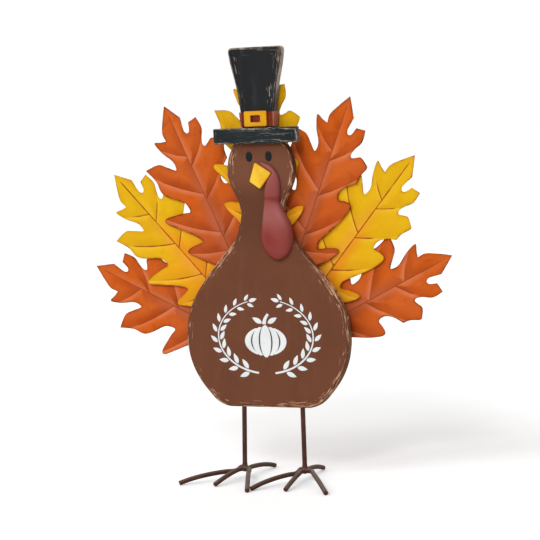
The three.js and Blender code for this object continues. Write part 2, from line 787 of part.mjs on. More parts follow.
for (const [name, place] of Object.entries(leafPlaces)) {
  const [upper, lower] = screwPoints(place).map(screwSolid);
  addPiece(`${name}_upper_screw`, upper, screwMetal);
  addPiece(`${name}_lower_screw`, lower, screwMetal);
}

addPiece('left_crown_dowel', dowelBar(-1, half(dowelDiameter), 0), dowelWood);
addPiece('right_crown_dowel', dowelBar(1, half(dowelDiameter), 0), dowelWood);

// The figure stands with the middle of its bounding box's foot at the origin.
part.updateMatrixWorld(true);
const bounds = new THREE.Box3().setFromObject(part, true);
const middle = bounds.getCenter(new THREE.Vector3());
part.position.set(-middle.x, -middle.y, -bounds.min.z);
part.updateMatrixWorld(true);

export default part;
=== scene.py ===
import math
import random

import bpy
import numpy as np
from mathutils import Matrix, Vector, geometry


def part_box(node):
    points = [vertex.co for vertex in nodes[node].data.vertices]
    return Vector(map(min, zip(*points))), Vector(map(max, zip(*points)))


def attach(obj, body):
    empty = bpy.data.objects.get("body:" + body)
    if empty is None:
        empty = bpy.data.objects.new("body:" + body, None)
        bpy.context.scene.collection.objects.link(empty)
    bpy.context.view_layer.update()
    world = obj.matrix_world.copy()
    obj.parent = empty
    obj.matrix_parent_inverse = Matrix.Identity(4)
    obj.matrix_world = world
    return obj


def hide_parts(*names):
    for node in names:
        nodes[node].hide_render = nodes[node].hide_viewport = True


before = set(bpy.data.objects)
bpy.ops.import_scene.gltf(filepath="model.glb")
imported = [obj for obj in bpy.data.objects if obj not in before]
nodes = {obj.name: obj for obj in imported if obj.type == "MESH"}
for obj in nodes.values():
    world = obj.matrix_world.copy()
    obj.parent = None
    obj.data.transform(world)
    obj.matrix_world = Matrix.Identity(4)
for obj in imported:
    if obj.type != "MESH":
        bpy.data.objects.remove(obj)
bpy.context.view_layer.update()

random.seed(11)

# Lengths below are in millimetres, with x = 0 on the middle of the head, y = 0 on the front
# face of the board and z = 0 on the ground. place() brings them into the row's frame.
MM = 1000
HAT_SHIFT = -1.3
LEG_DROP = 94
board_low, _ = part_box("body_board")
brim_low, brim_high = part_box("hat_brim")
ORIGIN = np.array([(brim_low.x + brim_high.x) * MM / 2 - HAT_SHIFT, board_low.y * MM,
                   board_low.z * MM - LEG_DROP])


def place(points):
    return (np.asarray(points, float) + ORIGIN) / MM


def middle_of(node):
    """The x and z of a node's middle, and the y of its front and of its back."""
    low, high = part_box(node)
    return ((low.x + high.x) * MM / 2 - ORIGIN[0], (low.z + high.z) * MM / 2 - ORIGIN[2],
            low.y * MM - ORIGIN[1], high.y * MM - ORIGIN[1])


# Sizes, as in the solids.
BOARD_HEIGHT = 342
BODY_HALF = 113
BOARD_THICK = 12
BODY_LEAN = 3.6
BOARD_TOP = LEG_DROP + BOARD_HEIGHT
CROWN_HEIGHT = 110
CROWN_HALF = 37.5
LEAF_LENGTH = 250
SHEET = 0.8
PLEAT = 2.4
FIRST_LAYER = 4.4
LAYER_PITCH = 3.3
ROD = 3.0
HUB = 14.5
GAP = 0.3

# Outlines in thousandths: of the half width and the height of board and crown, and of the
# leaf's length, in runs that meet at the leaf's corners.
BOARD_SHARES = [
    (487, 0), (565, 6), (640, 19), (710, 40), (825, 85), (910, 130), (963, 174), (992, 220),
    (1000, 262), (981, 322), (902, 396), (748, 471), (558, 544), (452, 581), (352, 620),
    (297, 658), (266, 695), (260, 722), (287, 765), (348, 802), (394, 839), (409, 870),
    (393, 912), (353, 949), (306, 975), (212, 1000),
]
CROWN_SHARES = [
    (580, 0), (600, 180), (652, 360), (758, 588), (870, 746), (946, 870), (1000, 1000),
]
LEAF_RIGHT = [
    [(0, 0), (28, 46), (56, 93)],
    [(56, 93), (46, 140), (43, 165), (53, 181), (70, 174), (85, 135)],
    [(85, 135), (134, 129)],
    [(134, 129), (138, 165), (134, 198), (112, 235), (102, 266), (109, 282), (130, 274),
     (158, 262), (196, 286), (204, 303), (183, 352), (179, 390)],
    [(179, 390), (135, 422), (110, 455), (106, 486), (117, 504), (147, 498), (178, 499),
     (188, 520), (175, 565), (155, 610), (122, 672), (90, 730), (86, 758), (99, 773), (140, 751),
     (188, 735), (202, 748), (172, 800), (120, 850), (50, 876), (27.5, 890)],
]
LEAF_LEFT = [
    [(0, 0), (-30, 45), (-62, 99)],
    [(-62, 99), (-73, 130), (-71, 165)],
    [(-71, 165), (-100, 157), (-128, 144), (-136, 153), (-120, 205), (-85, 270), (-82, 308),
     (-91, 320), (-127, 284), (-166, 252), (-243, 248)],
    [(-243, 248), (-215, 325), (-211, 388), (-181, 432), (-123, 485), (-109, 528), (-114, 546),
     (-138, 539), (-180, 529), (-248, 518), (-260, 538), (-222, 580), (-165, 637), (-137, 670),
     (-118, 700), (-123, 713), (-170, 710), (-204, 713), (-216, 728), (-170, 783), (-120, 832),
     (-50, 880), (-27.5, 890)],
]
# Side veins: root on the midrib, far end, and the crest between a vein and the one above.
VEINS = [
    (0.34, (0.19, 0.13), (0.095, 0.01)),
    (0.525, (0.29, 0.22), (0.25, 0.185)),
    (0.735, (0.28, 0.425), (0.3, 0.36)),
    (0.815, (0.29, 0.705), (0.31, 0.58)),
    (0.285, (-0.19, 0.115), (-0.14, 0.04)),
    (0.495, (-0.3, 0.195), (-0.26, 0.16)),
    (0.71, (-0.32, 0.445), (-0.34, 0.32)),
    (0.81, (-0.315, 0.67), (-0.34, 0.565)),
]
STEM = 0.0275
RISE = (0.82, 0.89)

# Each leaf: layer, turn in degrees, and the stem end on the board.
LEAVES = {
    "centre_leaf": (0, -0.2, -0.031, 0.547),
    "upper_left_leaf": (1, 24.3, -0.335, 0.454),
    "upper_right_leaf": (1, -22.7, 0.2, 0.454),
    "mid_left_leaf": (2, 43, -0.45, 0.334),
    "mid_right_leaf": (2, -40.4, 0.334, 0.354),
    "lower_left_leaf": (3, 65, -0.272, 0.211),
    "lower_right_leaf": (3, -63.8, 0.151, 0.228),
}
YELLOW = {"centre_leaf", "mid_left_leaf", "mid_right_leaf"}
SPREAD = {"centre_leaf": 1.06, "upper_left_leaf": 1.03}
# These leaves are pressed flatter on the side towards the board, so their lobes reach further
# there: the side, by how much, and between which shares of the leaf's length it sets in.
FLATTER = {
    "upper_left_leaf": (1, 0.17, 0.15, 0.5),
    "upper_right_leaf": (-1, 0.12, 0.3, 0.5),
    "mid_left_leaf": (1, 0.08, 0.15, 0.42),
    "mid_right_leaf": (-1, 0.12, 0.25, 0.45),
    "lower_left_leaf": (1, 0.08, 0.25, 0.45),
}


def hermite(a, b, leave, arrive, t):
    """A point between a and b, on a curve with a given direction at each."""
    return ((2 * a - 2 * b + leave + arrive) * t ** 3
            + (-3 * a + 3 * b - 2 * leave - arrive) * t * t + leave * t + a)


def bow(a, corner, b, t):
    """A point on a bow from a to b that is drawn towards a corner."""
    return a * (1 - t) ** 2 + 2 * corner * t * (1 - t) + b * t * t


def spline(knots, steps, last=False):
    """Points on a curve through the knots, with or without its last point."""
    p = np.array(knots, float)
    end = [p[-1]] if last else []
    if len(p) == 2:
        return [p[0] + (p[1] - p[0]) * k / steps for k in range(steps)] + end
    out = []
    for i in range(len(p) - 1):
        a, b, c, d = p[max(i - 1, 0)], p[i], p[i + 1], p[min(i + 2, len(p) - 1)]
        out += [hermite(b, c, (c - a) / 2, (d - b) / 2, k / steps) for k in range(steps)]
    return out + end


def centripetal(knots, steps):
    """Points on a curve through the knots that doesn't overshoot where they lie close."""
    p = np.array(knots, float)
    p = np.vstack([2 * p[0] - p[1], p, 2 * p[-1] - p[-2]])
    out = []
    for i in range(1, len(p) - 2):
        p0, p1, p2, p3 = p[i - 1:i + 3]
        d0, d1, d2 = (max(np.linalg.norm(b - a), 1e-9) ** 0.5
                      for a, b in ((p0, p1), (p1, p2), (p2, p3)))
        leave = ((p1 - p0) / d0 - (p2 - p0) / (d0 + d1) + (p2 - p1) / d1) * d1
        arrive = ((p2 - p1) / d1 - (p3 - p1) / (d1 + d2) + (p3 - p2) / d2) * d1
        out += [hermite(p1, p2, leave, arrive, k / steps) for k in range(steps)]
    return out + [p[-2]]


def chain(lines):
    """The segments of several lines, as their starts and their ends."""
    return np.vstack([v[:-1] for v in lines]), np.vstack([v[1:] for v in lines])


def unit(way):
    return way / np.linalg.norm(way)


def heading(degrees):
    angle = math.radians(degrees)
    return np.array([math.cos(angle), math.sin(angle)])


def directions(path):
    """The direction of a path at each of its points."""
    way = np.gradient(path, axis=0)
    return way / np.linalg.norm(way, axis=1)[:, None]


def turned(way):
    """Flat directions, each turned a quarter to the left."""
    return np.stack([-way[:, 1], way[:, 0]], 1)


def ellipse(cx, cz, across, up, turns):
    return np.stack([cx + across * np.cos(turns), cz + up * np.sin(turns)], 1)


def resample(loop, step):
    """A closed loop with points no further apart than step, corners kept."""
    out = []
    for i, p in enumerate(loop):
        q = loop[(i + 1) % len(loop)]
        n = max(1, math.ceil(np.linalg.norm(q - p) / step))
        out += [p + (q - p) * k / n for k in range(n)]
    return np.array(out)


def area(loop):
    x, z = loop[:, 0], loop[:, 1]
    return 0.5 * np.sum(x * np.roll(z, -1) - np.roll(x, -1) * z)


def to_segments(points, a, b):
    """Distance of each point to the nearest segment a-b, with its index and place on it."""
    best = np.full(len(points), 1e9)
    which = np.zeros(len(points), int)
    share = np.zeros(len(points))
    for i in range(len(a)):
        d = b[i] - a[i]
        t = np.clip(((points - a[i]) @ d) / max(d @ d, 1e-12), 0, 1)
        r = np.linalg.norm(points - a[i] - t[:, None] * d, axis=1)
        near = r < best
        best[near], which[near], share[near] = r[near], i, t[near]
    return best, which, share


def inside(points, loop):
    x, z = points[:, 0], points[:, 1]
    hit = np.zeros(len(points), bool)
    for p, q in zip(loop, np.roll(loop, -1, axis=0)):
        if p[1] == q[1]:
            continue
        cross = ((p[1] > z) != (q[1] > z)) & (
            x < (q[0] - p[0]) * (z - p[1]) / (q[1] - p[1]) + p[0])
        hit ^= cross
    return hit


def normals(loop):
    """Inward normal at each point of a counter-clockwise loop."""
    n = turned(np.roll(loop, -1, axis=0) - np.roll(loop, 1, axis=0))
    return n / np.maximum(np.linalg.norm(n, axis=1), 1e-9)[:, None]


def rounded(corners, radii):
    """A polygon with round corners, for a radius at each corner."""
    out = []
    n = len(corners)
    for i, (p, r) in enumerate(zip(corners, radii)):
        p = np.array(p, float)
        a = p + unit(np.array(corners[i - 1], float) - p) * r
        b = p + unit(np.array(corners[(i + 1) % n], float) - p) * r
        out += [bow(a, p, b, k / 8) for k in range(9)]
    return out


def box_loop(left, low, right, high, radius, step):
    corners = [(left, low), (right, low), (right, high), (left, high)]
    return resample(rounded(corners, [radius] * 4), step)


# How a sheet is filled: the height of a grid row as a share of its spacing, how near a ring
# may come to the outline elsewhere, as a share of its own depth, how far the grid stays from
# the last ring, as a share of the spacing, how far a line's points stay from the outline, how
# far loose points stay from a line, and how far the rows beside a line lie from it.
GRID_ROW = 0.87
RING_ROOM = 0.96
GRID_ROOM = 0.45
LINE_END = 0.3
LINE_ROOM = 2.4
LINE_ROWS = (-1.5, -0.6, 0.6, 1.5)


class Sheet:
    """A flat outline, filled with triangles, with rings of points along its edge.

    points and faces are its mesh and border the edges round it. rim is each point's distance
    from the outline, and run how far along the outline the place nearest to it lies."""

    def __init__(self, loops, rings, spacing, lines=()):
        outer = loops[0] if area(loops[0]) > 0 else loops[0][::-1]
        holes = [loop if area(loop) <= 0 else loop[::-1] for loop in loops[1:]]
        loops = [outer] + holes
        a = np.vstack(loops)
        b = np.vstack([np.roll(loop, -1, axis=0) for loop in loops])

        def from_edge(points):
            return to_segments(points, a, b)[0]

        ring_points = np.vstack([loop + normals(loop) * r for loop in loops for r in rings])
        depth = np.concatenate([np.full(len(loop), r) for loop in loops for r in rings])
        keep = (from_edge(ring_points) > depth * RING_ROOM) & inside(ring_points, outer)
        ring_points = ring_points[keep]
        lo, hi = a.min(0), a.max(0)
        grid = np.array([
            (x + (k % 2) * spacing / 2, z)
            for k, z in enumerate(np.arange(lo[1], hi[1], spacing * GRID_ROW))
            for x in np.arange(lo[0], hi[0], spacing)
        ])
        grid = grid[inside(grid, outer)]
        grid = grid[from_edge(grid) > max(rings) + spacing * GRID_ROOM]
        free = np.vstack([ring_points, grid])

        points = list(a)
        edges = []
        for loop in loops:
            start, n = len(edges), len(loop)
            edges += [(start + i, start + (i + 1) % n) for i in range(n)]
        for line in lines:
            kept = line[inside(line, outer)]
            kept = kept[from_edge(kept) > LINE_END]
            first = len(points)
            points += list(kept)
            edges += [(first + i, first + i + 1) for i in range(len(kept) - 1)]
        if len(lines):
            line_a, line_b = chain(lines)
            free = free[to_segments(free, line_a, line_b)[0] > LINE_ROOM]
            for line in lines:
                for off in LINE_ROWS:
                    row = line + turned(directions(line)) * off
                    row = row[inside(row, outer)]
                    beside = to_segments(row, line_a, line_b)[0]
                    row = row[(from_edge(row) > 0.5) & (beside > abs(off) * 0.9)]
                    free = np.vstack([free, row])

        points = [Vector(p) for p in points] + [Vector(p) for p in free]
        made = geometry.delaunay_2d_cdt(points, edges, [], 1, 1e-5)
        self.points = np.array([list(p) for p in made[0]])
        faces = np.array([f for f in made[2] if len(f) == 3])
        centre = self.points[faces].mean(1)
        keep = inside(centre, outer)
        for hole in holes:
            keep &= ~inside(centre, hole)
        faces = faces[keep]
        p = self.points[faces]
        turn = np.cross(p[:, 1] - p[:, 0], p[:, 2] - p[:, 0])
        faces[turn < 0] = faces[turn < 0][:, ::-1]
        self.faces = faces
        sides = dict.fromkeys((f[i], f[(i + 1) % 3]) for f in faces for i in range(3))
        self.border = [(i, j) for i, j in sides if (j, i) not in sides]
        self.rim, which, share = to_segments(self.points, a, b)
        lengths = np.linalg.norm(b - a, axis=1)
        self.run = np.cumsum(lengths)[which] - lengths[which] * (1 - share)


def add_object(name, data):
    """An object in the scene, with the same name as its mesh, lamp or camera."""
    obj = bpy.data.objects.new(name, data)
    bpy.context.scene.collection.objects.link(obj)
    return obj


def piece(name, node, look, shape, smooth=True):
    """A piece that rides the one body. Its shape is vertices, faces and values by name."""
    vertices, faces, values = shape
    mesh = bpy.data.meshes.new(name)
    mesh.from_pydata([tuple(v) for v in place(vertices)], [], [tuple(map(int, f)) for f in faces])
    for key, numbers in values.items():
        layer = mesh.attributes.new(key, "FLOAT", "POINT")
        layer.data.foreach_set("value", np.asarray(numbers, np.float32))
    mesh.polygons.foreach_set("use_smooth", [smooth] * len(mesh.polygons))
    mesh.validate()
    mesh.update()
    mesh.materials.append(look)
    obj = add_object(name, mesh)
    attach(obj, "root")
    if node:
        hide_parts(node)


def slab(sheet, front, back, extra=None):
    """Front skin, back skin and wall of a sheet. front and back give y at each point."""
    n = len(sheet.points)
    x, z = sheet.points[:, 0], sheet.points[:, 1]
    vertices = np.vstack([np.stack([x, front, z], 1), np.stack([x, back, z], 1)])
    faces = [tuple(f) for f in sheet.faces]
    faces += [(f[0] + n, f[2] + n, f[1] + n) for f in sheet.faces]
    faces += [(j, i, i + n, j + n) for i, j in sheet.border]
    values = {"rim": sheet.rim, "run": sheet.run, **(extra or {})}
    return vertices, faces, {key: np.concatenate([v, v]) for key, v in values.items()}


def eased(rim, radius):
    """How far a rounded edge falls back at a distance from the outline."""
    d = np.clip(radius - rim, 0, radius)
    return radius - np.sqrt(np.maximum(radius * radius - d * d, 0))


def edge_rings(radius):
    return [radius * (1 - math.cos(math.pi / 2 * k / 6)) for k in range(1, 7)]


def plate(loops, front, thickness, radius, spacing, more_rings=()):
    """A flat board with a rounded edge at its front and its back."""
    sheet = Sheet(loops, edge_rings(radius) + list(more_rings), spacing)
    fall = eased(sheet.rim, radius)
    return slab(sheet, front + fall, front + thickness - fall)


def skin(rings, sides, outward=True):
    """Faces between rings of points that follow one another."""
    faces = []
    for i in range(rings - 1):
        for k in range(sides):
            a, b = i * sides + k, i * sides + (k + 1) % sides
            c, d = a + sides, b + sides
            faces.append((a, b, d, c) if outward else (a, c, d, b))
    return faces


def capped_skin(rings, sides, outward=True):
    """The same, closed by a face over the first ring and one over the last."""
    first, last = tuple(range(sides)), tuple(range((rings - 1) * sides, rings * sides))
    caps = [first[::-1], last] if outward else [first, last[::-1]]
    return skin(rings, sides, outward) + caps


def rgb(r, g, b):
    """A colour as seen on screen, 0 to 255, as the linear values that shaders take."""
    def linear(v):
        v /= 255
        return v / 12.92 if v <= 0.04045 else ((v + 0.055) / 1.055) ** 2.4
    return (linear(r), linear(g), linear(b), 1)


def add_node(tree, kind, inputs, **settings):
    """A shader node. Each input is a plain value or what another node gives."""
    made = tree.nodes.new(kind)
    for key, value in settings.items():
        setattr(made, key, value)
    for key, value in inputs.items():
        if isinstance(value, Field):
            tree.links.new(value.socket, made.inputs[key])
        else:
            made.inputs[key].default_value = value
    return made


class Field:
    """What a node gives, with the sums that the looks use. a | b is the larger of the two."""

    def __init__(self, tree, socket):
        self.tree, self.socket = tree, socket

    def math(self, kind, other=0.0):
        made = add_node(self.tree, "ShaderNodeMath", {0: self, 1: other}, operation=kind)
        return Field(self.tree, made.outputs[0])

    def __add__(self, other):
        return self.math("ADD", other)

    def __sub__(self, other):
        return self.math("SUBTRACT", other)

    def __mul__(self, other):
        return self.math("MULTIPLY", other)

    def __or__(self, other):
        return self.math("MAXIMUM", other)

    __ror__ = __or__

    def __abs__(self):
        return self.math("ABSOLUTE")

    def axis(self, number):
        made = add_node(self.tree, "ShaderNodeSeparateXYZ", {0: self})
        return Field(self.tree, made.outputs[number])

    def rise(self, low, high, start=0.0, end=1.0):
        """start below low, end above high, and a smooth change between."""
        made = add_node(self.tree, "ShaderNodeMapRange", {
            "Value": self, "From Min": low, "From Max": high,
            "To Min": start, "To Max": end}, interpolation_type="SMOOTHSTEP")
        return Field(self.tree, made.outputs["Result"])

    def fall(self, low, high, end=0.0):
        return self.rise(low, high, 1.0, end)


class Look:
    """A material in the making: its node tree and its colour so far."""

    def __init__(self, name, roughness, gloss=0.5, metallic=0.0):
        self.material = bpy.data.materials.new(name)
        self.material.use_nodes = True
        self.tree = self.material.node_tree
        self.shader = self.tree.nodes["Principled BSDF"]
        self.shader.inputs["Roughness"].default_value = roughness
        self.shader.inputs["Metallic"].default_value = metallic
        self.shader.inputs["Specular IOR Level"].default_value = gloss

    def field(self, kind, output, inputs, **settings):
        made = add_node(self.tree, kind, inputs, **settings)
        return Field(self.tree, made.outputs[output])

    def place(self, scale=(1, 1, 1)):
        """The point in the row's frame, in metres times the scale."""
        point = self.field("ShaderNodeTexCoord", "Object", {})
        return self.field("ShaderNodeMapping", "Vector", {"Vector": point, "Scale": scale})

    def height(self):
        return self.place().axis(2)

    def facing(self, number):
        return self.field("ShaderNodeTexCoord", "Normal", {}).axis(number)

    def noise(self, scale, detail=4, rough=0.55, stretch=(1, 1, 1), warp=0.0):
        return self.field("ShaderNodeTexNoise", "Fac", {
            "Vector": self.place(stretch), "Scale": scale, "Detail": detail,
            "Roughness": rough, "Distortion": warp})

    def value(self, name):
        return self.field("ShaderNodeAttribute", "Fac", {}, attribute_name=name)

    def mix(self, share, a, b):
        a, b = (rgb(*tone) if isinstance(tone, tuple) else tone for tone in (a, b))
        return self.field("ShaderNodeMix", 2, {0: share, 6: a, 7: b}, data_type="RGBA")

    def start(self, share, a, b):
        """The first two tones."""
        self.color = self.mix(share, a, b)

    def coat(self, share, tone):
        """A further tone over the colour so far."""
        self.color = self.mix(share, self.color, tone)

    def done(self, rough, bump, strength, distance):
        made = self.field("ShaderNodeBump", "Normal", {
            "Height": bump, "Strength": strength, "Distance": distance})
        for key, field in (("Base Color", self.color), ("Roughness", rough), ("Normal", made)):
            if field:
                self.tree.links.new(field.socket, self.shader.inputs[key])
        return self.material


# Heights in metres. The brown board has painted shade on its neck, below the head, and a painted
# lighter band across the face that ends just under the brim, which leaves it darker there as
# painted shade; each is given as tone, amount, the heights where it sets in, those where it
# fades, and the share left above them. The crown keeps its paint below the second of two heights,
# and has one patch of long scratches, some millimetres to the right of its middle.
NECK_SHADE = ((72, 42, 30), 0.26, (0.27, 0.33), (0.352, 0.385), 0.2)
FACE_LIGHT = ((121, 78, 58), 0.7, (0.36, 0.385), (0.402, 0.422), 0.0)
CROWN_FOOT = (0.47, 0.52)
CROWN_FOOT_SIDE = (62, 50, 46)
SCRATCHES = 18.5


def scratches(look):
    """The patch of long scratches, low down on the crown's right."""
    patch = look.noise(1, 2, 0.5, stretch=(620, 1, 55), warp=0.2).rise(0.54, 0.6)
    middle = (SCRATCHES + ORIGIN[0]) / MM
    for value, low, high, soft in ((look.height(), 0.474, 0.503, 0.008),
                                   (look.place().axis(0), middle - 0.005, middle + 0.005, 0.002)):
        patch *= value.rise(low, low + soft) * value.fall(high - soft, high)
    return patch


def worn_wood(name, paint, light, bare, shade, side, layers, brush, wander, patchy,
              shading_bands=(), crown=False):
    """Brushed paint on wood, rubbed through in streaks that follow the edges.

    paint, bare and side are two tones each, of the paint, of the wood where it shows and of the
    board's wall. light is the tone of the raised strokes and shade that beside a streak. Each
    layer is the length and width of its streaks, where it begins and ends, measured from the
    edge in millimetres, how much of that band is rubbed through, and how strongly. brush
    stretches the strokes, wander is how far the streaks stray from the edge's line, and patchy
    how much they keep to some places."""
    look = Look(name, 0.62, gloss=0.07)
    strokes = look.noise(60, 5, 0.6, stretch=brush, warp=0.3)
    fine = look.noise(420, 3, 0.6, stretch=brush)
    look.start(look.noise(14, 3).rise(0.3, 0.7), *paint)
    look.coat(strokes.rise(0.5, 0.75) * 0.5, light)
    # Bands of painted shade and painted light at given heights.
    for tone, amount, begin, end, rest in shading_bands:
        height = look.height()
        look.coat(height.rise(*begin) * height.fall(*end, rest) * amount, tone)

    sway = look.noise(34, 2).rise(0.25, 0.75, -wander, wander)
    jitter = look.noise(170, 3, 0.6).rise(0.2, 0.8, -0.35, 0.35)
    rim = look.value("rim") + (sway + jitter)
    zone = look.noise(26, 2, warp=0.4).rise(0.36, 0.64, -patchy, patchy)
    worn = shadow = 0.0
    for k, (length, width, near, reach, cover, strength) in enumerate(layers):
        along = look.value("run") * (1 / length)
        limit = 0.66 - 0.32 * cover
        band = rim.rise(near - 0.5, near + 0.2) * rim.fall(reach * 0.6, reach) * strength
        streaks = []
        for inset in (0.0, 0.7):
            across = (rim - inset * width) * (1 / width)
            spot = look.field("ShaderNodeCombineXYZ", 0, {0: along, 1: across, 2: 3.7 * k})
            streak = look.field("ShaderNodeTexNoise", "Fac", {
                "Vector": spot, "Scale": 1.0, "Detail": 1.0})
            streaks.append((streak + zone).rise(limit, limit + 0.07) * band)
        worn, shadow = worn | streaks[0], shadow | streaks[1]
    worn *= fine.rise(0.32, 0.55, 0.5, 1.0)
    wall_from = (0.25, 0.75)
    if crown:
        # Its foot and the corners on its right have kept most of their paint.
        worn *= look.height().rise(*CROWN_FOOT, 0.2, 1.0) * look.facing(0).fall(0.05, 0.4, 0.3)
        worn |= scratches(look)
        wall_from = (0.1, 0.5)

    look.coat(shadow * 0.75, shade)
    wall = look.mix(look.noise(48, 4, 0.6).rise(0.4, 0.62), *side)
    wall = look.mix(look.noise(30).rise(0.56, 0.7), wall, shade)
    if crown:
        low = look.height().rise(*CROWN_FOOT, 0.9, 0.0) * look.noise(40, 3).rise(
            0.3, 0.6, 0.6, 1.0)
        wall = look.mix(low, wall, CROWN_FOOT_SIDE)
    look.coat(abs(look.facing(1)).fall(*wall_from), wall)
    look.coat(worn, look.mix(look.noise(120, 3, 0.6).rise(0.38, 0.6), *bare))
    return look.done(strokes * 0.2 + 0.52, strokes + fine * 0.4 - worn, 0.35, 0.00025)


def leaf_paint(name, body, deep, light, tint, base, lit_and_shaded_rib, edge, line, line_share, amounts):
    """Toned paint on a pressed leaf, with painted shade above each vein and a painted
    highlight just below it, as light from above would fall on the pleats.

    lit_and_shaded_rib is the tone on each side of the midrib, painted lit on the left and in
    shade on the right. The amounts are how strong the painted shade, the painted highlights
    and the tone near the stem are."""
    vein_shade, vein_highlight, basing = amounts
    look = Look(name, 0.5, gloss=0.08)
    rim, vein, along, side, spine = (
        look.value(k) for k in ("rim", "vein", "along", "side", "spine"))
    cloud = look.noise(22, 3)
    look.start(cloud.rise(0.35, 0.7) * 0.6, body, tint)
    look.coat(look.noise(55, 4, 0.6, warp=0.8).rise(0.5, 0.75) * 0.35, deep)
    waver = look.noise(9, 2).rise(0.3, 0.7, -0.08, 0.08)
    look.coat((along + waver).fall(0.15, 0.6) * basing, base)
    # Painted shade on the side of each vein towards the tip, and a painted highlight on the side
    # towards the stem.
    above = vein.fall(0.5, 18) * side.rise(0.0, 0.8) * along.fall(0.8, 0.97)
    look.coat(above * (rim.rise(0, 22) * 0.6 + 0.4) * vein_shade, deep)
    below = vein.fall(0.0, 9) * side.fall(-0.6, 0.0) * along.fall(0.7, 0.95, 0.2)
    look.coat(below * cloud.rise(0.3, 0.6, 0.5, 1.0) * vein_highlight, light)
    # Painted light on the left of the midrib and painted shade on its right.
    near_rib = abs(spine).fall(0.0, 17) * along.rise(0.35, 0.85, basing, 0.0)
    look.coat(near_rib, look.mix(spine.rise(-1.2, 1.2), *lit_and_shaded_rib))
    ragged = rim + look.noise(90, 3).rise(0.3, 0.7, -0.8, 0.8)
    look.coat(ragged.fall(1.2, 5) * 0.16, edge)
    look.coat(ragged.fall(0.2, 1.2) * 0.85, edge)
    width = look.noise(60, 2).rise(0.3, 0.7, 0.35, 0.85)
    look.coat((vein - width).fall(0.0, 0.3) * rim.rise(4, 10) * line_share, line)
    return look.done(cloud * 0.25 + 0.4, look.noise(300, 3, 0.6) + cloud * 1.5, 0.12, 0.0003)


def plain_paint(name, paint, deep, light, rough=0.5, grain=(1, 1, 1), rim_dark=None):
    """Even paint with a little grain, darker along the rim where rim_dark is given."""
    look = Look(name, rough, gloss=0.14)
    cloud = look.noise(45)
    fine = look.noise(360, 3, 0.6, stretch=grain)
    look.start(cloud.rise(0.3, 0.7), paint, deep)
    look.coat(fine.rise(0.5, 0.75) * 0.4, light)
    if rim_dark:
        look.coat(look.value("rim").fall(0.3, 1.6) * 0.6, rim_dark)
    return look.done(cloud * 0.25 + (rough - 0.12), fine, 0.2, 0.0002)


BROWN = worn_wood(
    "brown_board", paint=((112, 68, 48), (106, 64, 45)), light=(121, 78, 58),
    bare=((214, 172, 140), (176, 122, 92)), shade=(72, 42, 30),
    side=((98, 68, 50), (128, 98, 74)),
    layers=((34, 1.7, 0.1, 2.8, 0.5, 1.0), (18, 1.6, 1.0, 6.5, 0.24, 1.0),
            (13, 1.8, 3.0, 11.0, 0.03, 0.8)),
    brush=(1, 1, 0.25), wander=1.2, patchy=0.07, shading_bands=(NECK_SHADE, FACE_LIGHT))
BLACK = worn_wood(
    "black_hat", paint=((37, 38, 39), (33, 34, 36)), light=(58, 62, 65),
    bare=((176, 158, 146), (126, 110, 100)), shade=(10, 10, 12),
    side=((160, 142, 132), (198, 182, 170)),
    layers=((80, 1.7, 0.0, 2.6, 0.85, 1.0), (44, 1.3, 1.8, 6.0, 0.26, 0.8),
            (16, 1.2, 5.0, 13.0, 0.05, 1.0)),
    brush=(1.4, 1, 0.3), wander=0.9, patchy=0.05, crown=True)
BRIM = worn_wood(
    "black_brim", paint=((40, 47, 49), (32, 37, 39)), light=(78, 90, 88),
    bare=((164, 152, 138), (104, 100, 92)), shade=(14, 16, 18),
    side=((52, 50, 48), (104, 96, 88)),
    layers=((60, 1.2, 0.6, 3.6, 0.72, 0.95), (44, 1.0, 2.6, 11.0, 0.3, 0.5)),
    brush=(0.2, 1, 1.6), wander=2.2, patchy=0.03)
BUCKLE = plain_paint("buckle_yellow", (232, 170, 22), (216, 148, 16), (244, 200, 72), 0.45,
                     rim_dark=(196, 128, 20))
EYE = plain_paint("eye_dark", (22, 28, 26), (18, 23, 22), (40, 47, 44), 0.4)
BEAK = plain_paint("beak_yellow", (248, 204, 62), (240, 180, 40), (252, 218, 106), 0.5,
                   grain=(1, 1, 0.2), rim_dark=(206, 138, 36))
# In the leaf paints, light is the painted highlight tone, and deep is both the paint's darker
# tone and the painted shade above the veins.
ORANGE = leaf_paint(
    "leaf_orange", body=(206, 92, 22), deep=(156, 56, 8), light=(226, 132, 90),
    tint=(208, 100, 42), base=(176, 78, 44), lit_and_shaded_rib=((204, 116, 84), (138, 62, 42)),
    edge=(116, 36, 12), line=(110, 40, 20), line_share=0.45, amounts=(0.7, 0.6, 0.5))
GOLD = leaf_paint(
    "leaf_yellow", body=(232, 182, 18), deep=(208, 148, 8), light=(244, 198, 60),
    tint=(226, 166, 20), base=(244, 144, 28), lit_and_shaded_rib=((244, 164, 56), (232, 126, 28)),
    edge=(178, 110, 14), line=(150, 76, 12), line_share=0.9, amounts=(0.5, 0.45, 0.72))
WHITE = plain_paint("ornament_white", (236, 240, 240), (226, 231, 231), (248, 250, 250), 0.55)


def band_look():
    """Red-brown paint, with a painted highlight along the band's front corners."""
    look = Look("band_red", 0.5, gloss=0.14)
    low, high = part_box("hat_band")
    across = look.place().axis(0)
    corner = abs(across - low.x).math("MINIMUM", abs(across - high.x))
    cloud = look.noise(60, 3)
    fine = look.noise(360, 3, 0.6, stretch=(1, 1, 0.2))
    look.start(cloud.rise(0.3, 0.7), (120, 40, 18), (92, 26, 14))
    look.coat(fine.rise(0.5, 0.75) * 0.4, (160, 88, 68))
    # Painted highlight on the front corners.
    look.coat(corner.fall(0.001, 0.004) * fine.rise(0.3, 0.55) * 0.7, (188, 118, 98))
    return look.done(cloud * 0.25 + 0.36, fine, 0.2, 0.0002)


